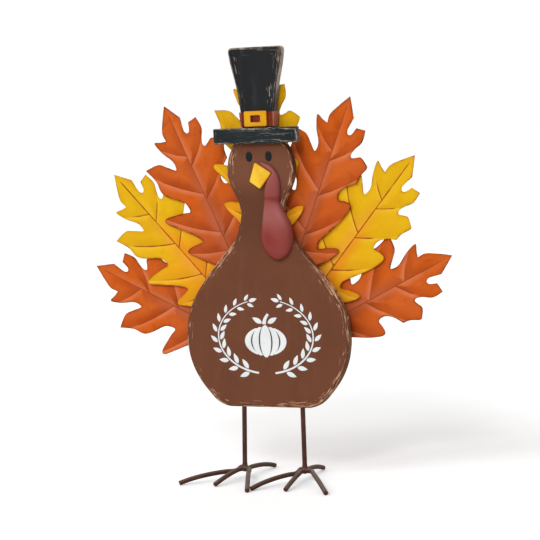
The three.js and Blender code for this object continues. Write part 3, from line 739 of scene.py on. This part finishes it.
def wattle_look():
    """Dusky above and red below, with a painted highlight between, painted shade low on its right
    and in its pinch, and painted shade along its edges where it meets the board.
    """
    look = Look("wattle_red", 0.42, gloss=0.2)
    drop = look.value("drop")
    cloud = look.noise(40, 3)
    look.start(drop.rise(0.05, 0.5), (144, 78, 74), (140, 58, 50))
    # Painted highlight on the pale stretch.
    look.coat(drop.rise(0.36, 0.5) * drop.fall(0.55, 0.75) * 0.6, (164, 98, 94))
    # Painted shade low on the right.
    look.coat(drop.rise(0.5, 0.8) * look.value("across").rise(-0.4, 0.7) * 0.8, (130, 30, 24))
    look.coat(cloud.rise(0.35, 0.7) * 0.35, (152, 78, 74))
    # Painted shade in the pinch.
    look.coat(abs(drop - 0.366).fall(0.0, 0.045) * 0.7, (122, 40, 38))
    # Painted shade along the edges, where the wattle meets the board.
    look.coat(look.value("rim").fall(0.0, 0.3) * 0.5, (100, 34, 32))
    return look.done(cloud * 0.2 + 0.32, look.noise(300, 3), 0.12, 0.0002)


def rod_look():
    """Brown paint over steel, with painted light where it faces up and painted shade where it
    faces down.
    """
    look = Look("rod_brown", 0.5, gloss=0.1)
    cloud, fine = look.noise(60), look.noise(500, 4, 0.6)
    look.start(cloud.rise(0.3, 0.7), (88, 54, 43), (68, 40, 32))
    look.coat(fine.rise(0.62, 0.74), (126, 94, 80))
    # Painted light on faces that look up.
    look.coat(look.facing(2).rise(0.1, 0.9, 0.0, 0.8), (106, 86, 75))
    # Painted shade on faces that look down.
    look.coat(look.facing(2).rise(-0.9, -0.1, 0.75, 0.0), (40, 26, 22))
    return look.done(cloud * 0.3 + 0.34, fine, 0.2, 0.0002)


def steel_look():
    look = Look("screw_steel", 0.32, metallic=1.0)
    fine = look.noise(900, 4, 0.6)
    look.start(fine.rise(0.3, 0.7), (190, 190, 186), (160, 160, 156))
    return look.done(fine * 0.25 + 0.2, fine, 0.15, 0.0001)


def bare_wood_look():
    look = Look("dowel_wood", 0.7)
    grain = look.noise(220, 5, 0.6, stretch=(1, 1, 0.1))
    look.start(grain.rise(0.3, 0.7), (206, 168, 120), (178, 136, 90))
    return look.done(None, grain, 0.3, 0.0002)


BAND, WATTLE, RODS = band_look(), wattle_look(), rod_look()
STEEL, DOWEL = steel_look(), bare_wood_look()


def on_board(across, up):
    return np.array([across * BODY_HALF, LEG_DROP + up * BOARD_HEIGHT])


def board_outline():
    right = spline(np.array(BOARD_SHARES) / 1000, 10, last=True)

    def lay(p, side):
        lean = -BODY_LEAN * (1 - p[1])
        return np.array([side * p[0] * BODY_HALF + lean, LEG_DROP + p[1] * BOARD_HEIGHT])
    loop = [lay(p, 1) for p in right] + [lay(p, -1) for p in right[::-1]]
    return resample(loop, 2.4)


def crown_outline(corner_size=7):
    foot = BOARD_TOP + GAP
    side = [(w * CROWN_HALF, foot + h * CROWN_HEIGHT)
            for w, h in np.array(CROWN_SHARES) / 1000]
    side = spline(side, 10, last=True)
    corner = side.pop()
    enter = corner + unit(side[-1] - corner) * corner_size
    leave = corner - np.array([corner_size, 0])
    right = [p for p in side if p[1] < enter[1]]
    right += [bow(enter, corner, leave, t) for t in np.linspace(0, 1, 9)]
    left = [np.array([-p[0], p[1]]) for p in right[::-1]]
    return resample(right + left, 1.8)


# The brim's half width, height, edge radius and depth, and how far it reaches below the top of
# the board.
BRIM_HALF, BRIM_HEIGHT, BRIM_EDGE, BRIM_DEEP, BRIM_DROP = 58, 19.5, 1.2, 7, 9.1


def build_boards():
    piece("board_body", "body_board", BROWN,
          plate([board_outline()], 0, BOARD_THICK, 3.2, spacing=7, more_rings=(4.4, 6.0, 8.5)))
    piece("hat_crown_board", "hat_crown", BLACK,
          plate([crown_outline()], 0, BOARD_THICK, 1.8, spacing=4, more_rings=(2.6, 3.6, 5.0)))
    foot = BOARD_TOP - BRIM_DROP
    loop = box_loop(HAT_SHIFT - BRIM_HALF, foot, HAT_SHIFT + BRIM_HALF, foot + BRIM_HEIGHT,
                    BRIM_EDGE, 1.6)
    piece("hat_brim_board", "hat_brim", BRIM,
          plate([loop], -BRIM_DEEP, BRIM_DEEP, BRIM_EDGE, spacing=3, more_rings=(2.0, 3.0, 4.2)))


# Width, height and corner radius of the buckle and of its hole, its thickness and its edge.
BUCKLE_SIZES = ((31.4, 19.6, 2.5), (13, 8.2, 1.25))
BUCKLE_THICK, BUCKLE_EDGE = 2.6, 1.1


def build_buckle():
    x, z, front, _ = middle_of("hat_buckle")
    loops = [box_loop(x - width / 2, z - height / 2, x + width / 2, z + height / 2, radius, 0.8)
             for width, height, radius in BUCKLE_SIZES]
    piece("hat_buckle_frame", "hat_buckle", BUCKLE,
          plate(loops, front, BUCKLE_THICK, BUCKLE_EDGE, spacing=1.4))


# Where the eyes lie across the board and up it, their half sizes, thickness and edge.
EYES = {"left_eye": -0.125, "right_eye": 0.114}
EYE_UP, EYE_HALF, EYE_THICK, EYE_EDGE = 0.925, (4.4, 6.2), 1.2, 1.1


def build_eyes():
    turns = np.linspace(0, 2 * math.pi, 48, endpoint=False)
    for name, across in EYES.items():
        loop = ellipse(*on_board(across, EYE_UP), *EYE_HALF, turns)
        sheet = Sheet([loop], [0.12, 0.4, 0.8, 1.3, 2.0], 1.0)
        front = -EYE_THICK + eased(sheet.rim, EYE_EDGE)
        piece(name + "_oval", name, EYE, slab(sheet, front, np.zeros(len(front))))


BEAK_CORNERS = [on_board(*p) for p in (
    (-0.043, 0.905), (0.15, 0.864), (0.008, 0.806), (-0.129, 0.834))]
BEAK_HIGH, BEAK_FALL, BEAK_HALF, BEAK_EDGE = 5.5, 2.5, 13.0, 1.5


def build_beak():
    """Two faces that meet in a soft fold from the top corner to the bottom one."""
    top, right, bottom, left = BEAK_CORNERS
    corners = [bottom, right, top, left]
    sizes = [np.linalg.norm(corners[i - 1] - corners[i]) * 0.09 for i in range(4)]
    loop = resample(rounded(corners, sizes), 0.8)
    sheet = Sheet([loop], edge_rings(BEAK_EDGE), 1.0)
    away, _, _ = to_segments(sheet.points, np.array([top]), np.array([bottom]))

    def tent(distance, power):
        return BEAK_HIGH - BEAK_FALL * np.clip(distance / BEAK_HALF, 0, 1) ** power
    crisp, soft = tent(away, 0.85), tent(np.sqrt(away ** 2 + 1.4), 0.95)
    front = -(0.5 * crisp + 0.5 * soft) + eased(sheet.rim, BEAK_EDGE)
    piece("beak_folded", "beak", BEAK, slab(sheet, front, np.zeros(len(front))))


# The wattle from top to bottom: how far aside its middle lies, how far down, and its width,
# each in thousandths.
WATTLE_SHARES = [
    (-467, 0, 80), (-322, 26, 194), (-166, 73, 289), (-85, 135, 384), (-73, 207, 469),
    (-105, 279, 526), (-126, 330, 545), (-126, 355, 520), (-135, 380, 520), (-143, 422, 545),
    (-118, 505, 690), (-78, 587, 862), (-40, 670, 1000), (-30, 752, 1070), (-25, 825, 1030),
    (-30, 897, 870), (-36, 949, 660), (-42, 984, 380), (-45, 1000, 140),
]
WATTLE_SIDE, WATTLE_DROP, WATTLE_HALF, WATTLE_DEEP = 42, 121, 21, 11


def build_wattle(sides=40):
    """A half-round drop that thins where it passes over the beak."""
    top = on_board(0.187, 0.9)
    rows = np.array(spline(np.array(WATTLE_SHARES) / 1000, 8, last=True))
    line = np.stack([top[0] + rows[:, 0] * WATTLE_SIDE, top[1] - rows[:, 1] * WATTLE_DROP], 1)
    beak = resample(BEAK_CORNERS, 1.0)
    if area(beak) < 0:
        beak = beak[::-1]
    vertices, drop, rim, aside = [], [], [], []
    for c, a, (_, d, w) in zip(line, turned(directions(line)), rows):
        w = max(w, 0.03)
        for k in range(sides + 1):
            t = math.pi * k / sides
            out = math.cos(t) * w * WATTLE_HALF
            deep = math.sin(t) * w ** 0.6 * WATTLE_DEEP
            vertices.append((c[0] + a[0] * out, -deep, c[1] + a[1] * out))
            drop.append(d)
            rim.append(1 - abs(math.cos(t)))
            aside.append(-math.cos(t) * np.sign(a[0]))
    flat = np.array(vertices)[:, [0, 2]]
    far, _, _ = to_segments(flat, beak, np.roll(beak, -1, axis=0))
    far[inside(flat, beak)] *= -1
    tuck = np.clip((far - 0.3) / 1.6, 0.08, 1)
    vertices = [(x, y * k, z) for (x, y, z), k in zip(vertices, tuck)]
    piece("wattle_bulb", "wattle", WATTLE,
          (vertices, capped_skin(len(rows), sides + 1),
           {"drop": drop, "rim": rim, "across": aside}))


CREST_POINTS = 16


def leaf_outline():
    def draw(runs):
        return [p for run in runs for p in spline(np.array(run) / 1000, 5)]
    end = 1 - STEM
    stem = [(STEM, RISE[1]), (STEM, end)]
    stem += [(STEM * math.cos(t), end + STEM * math.sin(t))
             for t in np.linspace(0, math.pi, 11)[1:-1]]
    stem += [(-STEM, end), (-STEM, RISE[1])]
    loop = np.array(draw(LEAF_RIGHT) + stem + draw(LEAF_LEFT)[:0:-1]) * LEAF_LENGTH
    loop[:, 1] = LEAF_LENGTH - loop[:, 1]
    return resample(loop, 2.0)


def leaf_point(share):
    return np.array([share[0], 1 - share[1]]) * LEAF_LENGTH


def vein_lines():
    """The midrib and the side veins as lines, and the crests between the veins."""
    veins = [np.array([leaf_point((0, d)) for d in np.linspace(0.03, 0.88, 90)])]
    crests = []
    above = {1: -0.08, -1: -0.08}
    for root, end, crest in VEINS:
        sign = 1 if end[0] > 0 else -1
        a, b = leaf_point((0, root)), leaf_point(end)
        d = b - a
        middle = (a + b) / 2 + np.array([d[1], -d[0]]) * sign * 0.1
        veins.append(bow(a, middle, b, np.linspace(0, 1, 40)[:, None]))
        start = leaf_point((0, above[sign]))
        shares = np.linspace(0, 1, CREST_POINTS)[:, None]
        crests.append(start + (leaf_point(crest) - start) * shares)
        above[sign] = root
    return veins, crests


def leaf_shape():
    """The pressing that all leaves share: its sheet, the height of its relief, and each point's
    distance from a vein and side of it, +1 towards the leaf's tip."""
    veins, crests = vein_lines()
    sheet = Sheet([leaf_outline()], [0.15, 0.45, 1.2, 2.4], 2.6, veins)
    p = sheet.points
    vein_a, vein_b = chain(veins)
    dv, which, _ = to_segments(p, vein_a, vein_b)
    dc, at, t = to_segments(p, *chain(crests))
    last = CREST_POINTS - 1
    ridge = PLEAT * np.clip((at % last + t) / last, 0, 1) ** 0.8
    height = ridge * np.sin(math.pi / 2 * dv / (dv + dc + 1e-6))
    for sign in (1, -1):
        root, end, _ = [v for v in VEINS if (v[1][0] > 0) == (sign > 0)][-1]
        a = leaf_point((0, root))
        d = leaf_point(end) - a
        below = (d[0] * (p[:, 1] - a[1]) - d[1] * (p[:, 0] - a[0])) * sign < 0
        below &= (p[:, 0] * sign >= 0)
        # Below its lowest vein a leaf is nearly flat.
        height[below] = np.minimum(dv[below] * 0.05, 0.9)
    d = (vein_b - vein_a)[which]
    off = p - vein_a[which]
    side = np.sign(d[:, 0] * off[:, 1] - d[:, 1] * off[:, 0])
    side = np.where(d[:, 0] < 0, -side, side)
    on_midrib = which < len(veins[0]) - 1
    side[on_midrib] = np.where(p[on_midrib, 0] < 0, 1, -1) * 0.6
    side[dv < 0.1] = 0
    return sheet, height, dv, side


LEAF = leaf_shape()
LEAF_EDGE = 0.38


def build_leaf(name):
    layer, turn, across, up = LEAVES[name]
    sheet, height, vein, side = LEAF
    p = sheet.points
    share = 1 - p[:, 1] / LEAF_LENGTH
    valley = FIRST_LAYER + layer * LAYER_PITCH - SHEET
    rise = np.clip((share - RISE[0]) / (RISE[1] - RISE[0]), 0, 1) * (valley - GAP)
    level = valley - height * np.clip((0.9 - share) / 0.1, 0, 1) - rise
    fall = eased(sheet.rim, LEAF_EDGE)
    vertices, faces, values = slab(sheet, level + fall, level + SHEET - fall, {
        "vein": vein, "along": 1 - share, "side": side, "spine": p[:, 0]})
    c, s = heading(turn)
    foot = on_board(across, up)
    x, z = vertices[:, 0] * SPREAD.get(name, 1), vertices[:, 2].copy()
    if name in FLATTER:
        flat_side, gain, begin, full = FLATTER[name]
        down = 1 - z / LEAF_LENGTH
        reach = np.clip((down - begin) / (full - begin), 0, 1)
        reach *= np.clip((RISE[0] - down) / 0.1, 0, 1) * (x * flat_side > 0)
        x *= 1 + gain * reach
    vertices[:, 0] = foot[0] + x * c - z * s
    vertices[:, 2] = foot[1] + x * s + z * c
    vertices[:, 1] += BOARD_THICK
    paint, slot = (GOLD, "yellow_paint") if name in YELLOW else (ORANGE, "orange_paint")
    piece(name + "_pressed", name, paint, (vertices, faces, values))


# Each leg: where it enters the board and where it stands, as shares of the board's half width.
# Each toe: its heading in degrees and its length from the leg.
LEGS = {"left": (-0.366, -0.399), "right": (0.356, 0.346)}
TOES = {
    "left": {"outer": (-139.3, 86.2), "middle": (-105, 58.2), "inner": (-62.5, 93),
             "rear": (87, 79)},
    "right": {"outer": (-50.9, 100), "middle": (-86.6, 67.6), "inner": (-119.9, 82.45),
              "rear": (96.7, 75.5)},
}
RODS_OF = {
    "left": {"side": ("outer", "rear"), "front": ("middle", "inner")},
    "right": {"side": ("inner", "rear"), "front": ("middle", "outer")},
}
KNUCKLE = 10
SHOULDER = 3
# Height of a toe where it leaves the bend, its arch, the height of the bend itself, and how
# far the bend is set towards the second toe.
TOE_RISE = {"side": (11.5, 2.5, 15, 0), "front": (14.3, 1.5, 14.5, 2.5)}
ROD_SIDES = 24


def leg_ends(side):
    enter, foot = LEGS[side]
    y = BOARD_THICK / 2
    return (np.array([foot * BODY_HALF, y, HUB]),
            np.array([enter * BODY_HALF, y, LEG_DROP]))


def toe_path(side, rod):
    """A bent rod: out along one toe, round the leg's foot and out along the other."""
    foot, _ = leg_ends(side)
    shoulder_height, arch, top_height, shift = TOE_RISE[rod]
    toes = [TOES[side][t] for t in RODS_OF[side][rod]]
    ways = [heading(degrees) for degrees, _ in toes]
    mouth = unit(ways[0] + ways[1])
    aside = unit(ways[1] - mouth * (ways[1] @ mouth))
    top = foot[:2] + mouth * (2 * ROD + GAP) + aside * shift
    arms = []
    for way, (_, reach) in zip(ways, toes):
        across = unit(way - mouth * (way @ mouth))
        shoulder = top + across * KNUCKLE / 2 + way * SHOULDER
        tip = foot[:2] + way * reach
        arm = []
        for k in range(6):
            out = 1 - k / 5
            rise = (shoulder_height - ROD) * (1 - out ** arch)
            arm.append(np.array([*(shoulder + (tip - shoulder) * out), ROD + rise]))
        arms.append(arm)
    return np.array(centripetal(arms[0] + [np.array([*top, top_height])] + arms[1][::-1], 8))


def ring(middle, a, b, radius, sides=ROD_SIDES):
    """Points round a middle, in the plane of two directions."""
    turns = (2 * math.pi * k / sides for k in range(sides))
    return [middle + (a * math.cos(t) + b * math.sin(t)) * radius for t in turns]


def tube(path, chamfer=0.35):
    """A round rod along a path, its ends cut flat with a small chamfer."""
    way = directions(path)
    start, end = path[0], path[-1]
    path = np.vstack([[start, start + way[0] * chamfer], path[1:-1],
                      [end - way[-1] * chamfer, end]])
    way = np.vstack([[way[0]], way[:1], way[1:-1], way[-1:], [way[-1]]])
    radii = np.full(len(path), ROD)
    radii[0] = radii[-1] = ROD - chamfer
    vertices = []
    for p, w, r in zip(path, way, radii):
        a = unit(np.cross(w, (0, 0, 1.0)) if abs(w[2]) < 0.9 else np.cross(w, (0, 1.0, 0)))
        vertices += ring(p, a, np.cross(w, a), r)
    return vertices, capped_skin(len(path), ROD_SIDES, outward=False), {}


# The weld bead at a leg's foot is a ball of this radius, which runs out into the rod over
# these heights and widths; the rod goes on into the bore.
BEAD = 5
BEAD_END = [(5.2, ROD + 0.35), (6.8, ROD + 0.08), (9, ROD)]
BORE_DEPTH = 30


def leg(side):
    foot, enter = leg_ends(side)
    axis = unit(enter - foot)
    length = np.linalg.norm(enter - foot) + BORE_DEPTH
    profile = []
    for k in range(13):
        t = math.pi / 2 * (1 - k / 6)
        h, r = -BEAD * math.sin(t), max(BEAD * math.cos(t), 0.2)
        if h < 4.2:
            profile.append((h, max(r, ROD) if h > 0 else r))
    profile += BEAD_END + [(h, ROD) for h in np.linspace(15, length, 14)] + [(length, 0.2)]
    a = unit(np.cross(axis, (0, 1.0, 0)))
    b = np.cross(axis, a)
    vertices = [v for h, r in profile for v in ring(foot + axis * h, a, b, r)]
    return vertices, capped_skin(len(profile), ROD_SIDES), {}


def build_rods():
    for side in LEGS:
        for rod in ("side", "front"):
            piece(f"{side}_{rod}_toe_rod", f"{side}_{rod}_toes", RODS,
                  tube(toe_path(side, rod)))
        piece(f"{side}_leg_rod", f"{side}_leg", RODS, leg(side))


# A screw's head: its height, the radius of its dome, the radii of its rings, and half the
# width, the reach and the depth of the cross recess. Its shank: radius and height of each ring.
PAN_HEIGHT = 2
PAN_DOME = 3.55
PAN_RINGS = (0.35, 0.6, 1.1, 1.6, 1.9, 2.4, 2.9, 3.25, 3.45, 3.5)
RECESS_HALF, RECESS_REACH, RECESS_DEPTH = 0.42, 1.75, 0.9
SHANK = ((3.5, 0), (1.5, 0), (1.5, -6), (0.15, -9))


def build_screws(sides=48):
    """Pan heads with a cross recess, in place of the plain ones."""
    for node in sorted(n for n in nodes if n.endswith("_screw")):
        x, z, _, back = middle_of(node)
        seat = back - PAN_HEIGHT
        turn = random.uniform(0, math.pi / 2)
        turns = [2 * math.pi * k / sides for k in range(sides)]
        vertices = []
        for r in PAN_RINGS:
            dome = PAN_HEIGHT * math.sqrt(max(1 - (r / PAN_DOME) ** 2, 0)) ** 0.8
            for t in turns:
                u, w = abs(r * math.cos(t - turn)), abs(r * math.sin(t - turn))
                cut = min(u, w) < RECESS_HALF and max(u, w) < RECESS_REACH
                vertices.append((x + r * math.cos(t), seat + dome - (RECESS_DEPTH if cut else 0),
                                 z + r * math.sin(t)))
        vertices += [(x + r * math.cos(t), seat + h, z + r * math.sin(t))
                     for r, h in SHANK for t in turns]
        rings = len(PAN_RINGS) + len(SHANK)
        faces = skin(rings, sides, outward=False)
        faces += [(len(vertices), k, (k + 1) % sides) for k in range(sides)]
        vertices.append((x, seat + PAN_HEIGHT - RECESS_DEPTH, z))
        faces.append(tuple(range((rings - 1) * sides, rings * sides))[::-1])
        piece(node + "_pan", node, STEEL, (vertices, faces, {}), smooth=False)


def ribbon(points, widths):
    """The outline of a brush stroke along points with a width at each."""
    p = np.array(points, float)
    n = turned(directions(p)) * (np.array(widths)[:, None] / 2)
    return np.vstack([p + n, (p - n)[::-1]])


def petal(foot, angle, length, width, steps=12):
    """A pointed leaf shape from its foot along an angle in degrees."""
    way = heading(angle)
    side = np.array([-way[1], way[0]])
    out = []
    for half in (1, -1):
        for k in range(steps + 1):
            t = k / steps if half > 0 else 1 - k / steps
            w = width / 2 * math.sin(math.pi * t ** 0.8) ** 0.9
            out.append(foot + way * length * t + side * (half * w))
    return np.array(out[:steps + 1] + out[steps + 2:-1])


# The ornament's paint: how thick it is, and how far from its edge it reaches that.
PAINT_THICK, PAINT_EDGE = 0.28, 0.45


def paint_patch(loops, name):
    """Thick white paint on the face of the board."""
    vertices, faces, rims = [], [], []
    for loop in loops:
        loop = resample(loop, 1.4)
        if area(loop) < 0:
            loop = loop[::-1]
        sheet = Sheet([loop], [0.2, 0.55], 2.2)
        lift = PAINT_THICK * np.clip(sheet.rim / PAINT_EDGE, 0, 1) ** 0.5
        v, f, values = slab(sheet, -0.04 - lift, np.full(len(lift), 0.05))
        start = len(vertices)
        vertices += list(v)
        faces += [tuple(i + start for i in face) for face in f]
        rims += list(values["rim"])
    piece(name, None, WHITE, (vertices, faces, {"rim": rims}))


# The ornament's middle, the half width and half height of its garland, the height of the
# pumpkin's middle, its lobes beside the first, each with its near side, far side and half
# height, and the size of the first lobe.
MIDDLE_X, MIDDLE_Z = -3.8, 184
GARLAND = (66, 47)
PUMPKIN_Z = MIDDLE_Z - 6
LOBES = ((9.6, 18.6, 20.2), (20.6, 29, 18.6))
FIRST_LOBE = (7.6, 20.5)


def sprig(side):
    """Half of the garland: a stem with pairs of leaves and one at its tip."""
    turns = [math.radians(-80 + 150 * k / 40) for k in range(41)]
    arc = [np.array([MIDDLE_X + side * GARLAND[0] * math.cos(t),
                     MIDDLE_Z + GARLAND[1] * math.sin(t)]) for t in turns]
    loops = [ribbon(arc, np.linspace(2.6, 1.2, len(arc)))]

    def ahead(k):
        way = unit(arc[k + 1] - arc[k])
        return way, math.degrees(math.atan2(way[1], way[0]))
    for k in range(3, 40, 4):
        way, angle = ahead(k)
        size = 15 - 5 * (k / 40)
        for lean, back in ((38, 0), (-38, 2.5)):
            off = np.array([-way[1], way[0]]) * math.copysign(2.4, lean)
            loops.append(petal(arc[k] + way * back + off, angle + lean, size, size * 0.42))
    way, angle = ahead(-2)
    return loops + [petal(arc[-1] + way * 1.5, angle, 12, 5)]


def pumpkin():
    """Five lobes, a stalk and two leaves."""
    turns = np.linspace(0, 2 * math.pi, 60, endpoint=False)
    loops = [ellipse(MIDDLE_X, PUMPKIN_Z, *FIRST_LOBE, turns)]
    arc = np.radians(np.linspace(-64, 64, 31))
    for near, far, half in LOBES:
        for side in (-1, 1):
            rim = ellipse(MIDDLE_X, PUMPKIN_Z, side * far, half, arc)
            core = ellipse(MIDDLE_X, PUMPKIN_Z, side * near, 0.97 * half, arc)
            loops.append(np.vstack([rim, core[::-1]]))
    stalk = [np.array([MIDDLE_X - 1 + 6 * t * t, MIDDLE_Z + 15.5 + 13 * t])
             for t in np.linspace(0, 1, 10)]
    loops.append(ribbon(stalk, np.linspace(5.5, 3.4, 10)))
    return loops + [petal(np.array([MIDDLE_X + side * 4, MIDDLE_Z + 17]), 90 - side * 62, 15, 6.5)
                    for side in (-1, 1)]


build_boards()
build_buckle()
build_eyes()
build_beak()
build_wattle()
for leaf in LEAVES:
    build_leaf(leaf)
build_rods()
build_screws()
paint_patch(sprig(-1), "ornament_sprig_left")
paint_patch(sprig(1), "ornament_sprig_right")
paint_patch(pumpkin(), "ornament_pumpkin")

for name, look in (("hat_band", BAND), ("left_crown_dowel", DOWEL),
                   ("right_crown_dowel", DOWEL)):
    mesh = nodes[name].data
    mesh.materials.clear()
    mesh.materials.append(look)

# The studio.
FLOOR_REACH = 12.0
WORLD_LIGHT = 0.42


def seen_directly(tree):
    """1 for what the camera sees, also in mirrors and through glass, and 0 for other light."""
    path = tree.nodes.new("ShaderNodeLightPath")
    camera, mirror, glass = (Field(tree, path.outputs[ray]) for ray in (
        "Is Camera Ray", "Is Glossy Ray", "Is Transmission Ray"))
    return camera | mirror | glass


def floor_look():
    """Pale floor; what the camera sees of it is lifted to white, and keeps the shadow."""
    look = Look("floor_white", 0.95)
    look.shader.inputs["Base Color"].default_value = (0.8, 0.8, 0.8, 1)
    matt = look.field("ShaderNodeBsdfDiffuse", 0, {"Color": (0.95, 0.95, 0.95, 1)})
    glow = look.field("ShaderNodeEmission", 0, {"Color": (1, 1, 1, 1), "Strength": 0.25})
    both = look.field("ShaderNodeMixShader", 0, {
        0: seen_directly(look.tree), 1: Field(look.tree, look.shader.outputs[0]),
        2: look.field("ShaderNodeAddShader", 0, {0: matt, 1: glow})})
    look.tree.links.new(both.socket, look.tree.nodes["Material Output"].inputs["Surface"])
    return look.material


floor_mesh = bpy.data.meshes.new("floor")
floor_mesh.from_pydata(
    [(x * FLOOR_REACH, y * FLOOR_REACH, 0) for x, y in ((-1, -1), (1, -1), (1, 1), (-1, 1))],
    [], [(0, 1, 2, 3)])
floor_mesh.materials.append(floor_look())
floor = add_object("floor", floor_mesh)

world = bpy.data.worlds.new("studio")
bpy.context.scene.world = world
world.use_nodes = True
tree = world.node_tree
background = tree.nodes["Background"]
background.inputs["Color"].default_value = (1, 1, 1, 1)
strength = add_node(tree, "ShaderNodeMapRange", {
    "Value": seen_directly(tree), "To Min": WORLD_LIGHT, "To Max": 1.0})
tree.links.new(strength.outputs["Result"], background.inputs["Strength"])


def sun(name, toward, strength, angle):
    """A distant lamp that lies in the direction of toward; its angle sets how soft it is."""
    data = bpy.data.lights.new(name, "SUN")
    data.energy = strength
    data.angle = math.radians(angle)
    lamp = add_object(name, data)
    lamp.rotation_euler = Vector(toward).to_track_quat("Z", "Y").to_euler()


sun("key", (0.14, -0.84, 0.54), 0.84, 13)
sun("side", (-0.62, -0.72, 0.62), 0.6, 34)
sun("middle", (-0.3, -1.2, 1.2), 0.56, 24)
sun("back", (-0.4, 0.8, 0.9), 0.35, 70)

# The camera's turn, tilt and roll in degrees, its place, the width of its film, and its focal
# length in film widths.
YAW, TILT, ROLL = 25.863, 5.388, 2.865
CAMERA_AT = (1201.5, -2463.6, 526.3)
FILM = 36
FOCUS = 2200 / 540
camera = bpy.data.cameras.new("camera")
camera.sensor_width = FILM
camera.lens = FILM * FOCUS
camera.clip_end = 100
eye = add_object("camera", camera)
yaw, tilt, roll = (math.radians(v) for v in (YAW, TILT, ROLL))
eye.location = Vector(place([CAMERA_AT])[0])
eye.rotation_mode = "QUATERNION"
eye.rotation_quaternion = (
    Matrix.Rotation(yaw, 3, "Z") @ Matrix.Rotation(math.pi / 2 - tilt, 3, "X")
    @ Matrix.Rotation(-roll, 3, "Z")).to_quaternion()
bpy.context.scene.camera = eye
bpy.context.scene.view_settings.view_transform = "Standard"
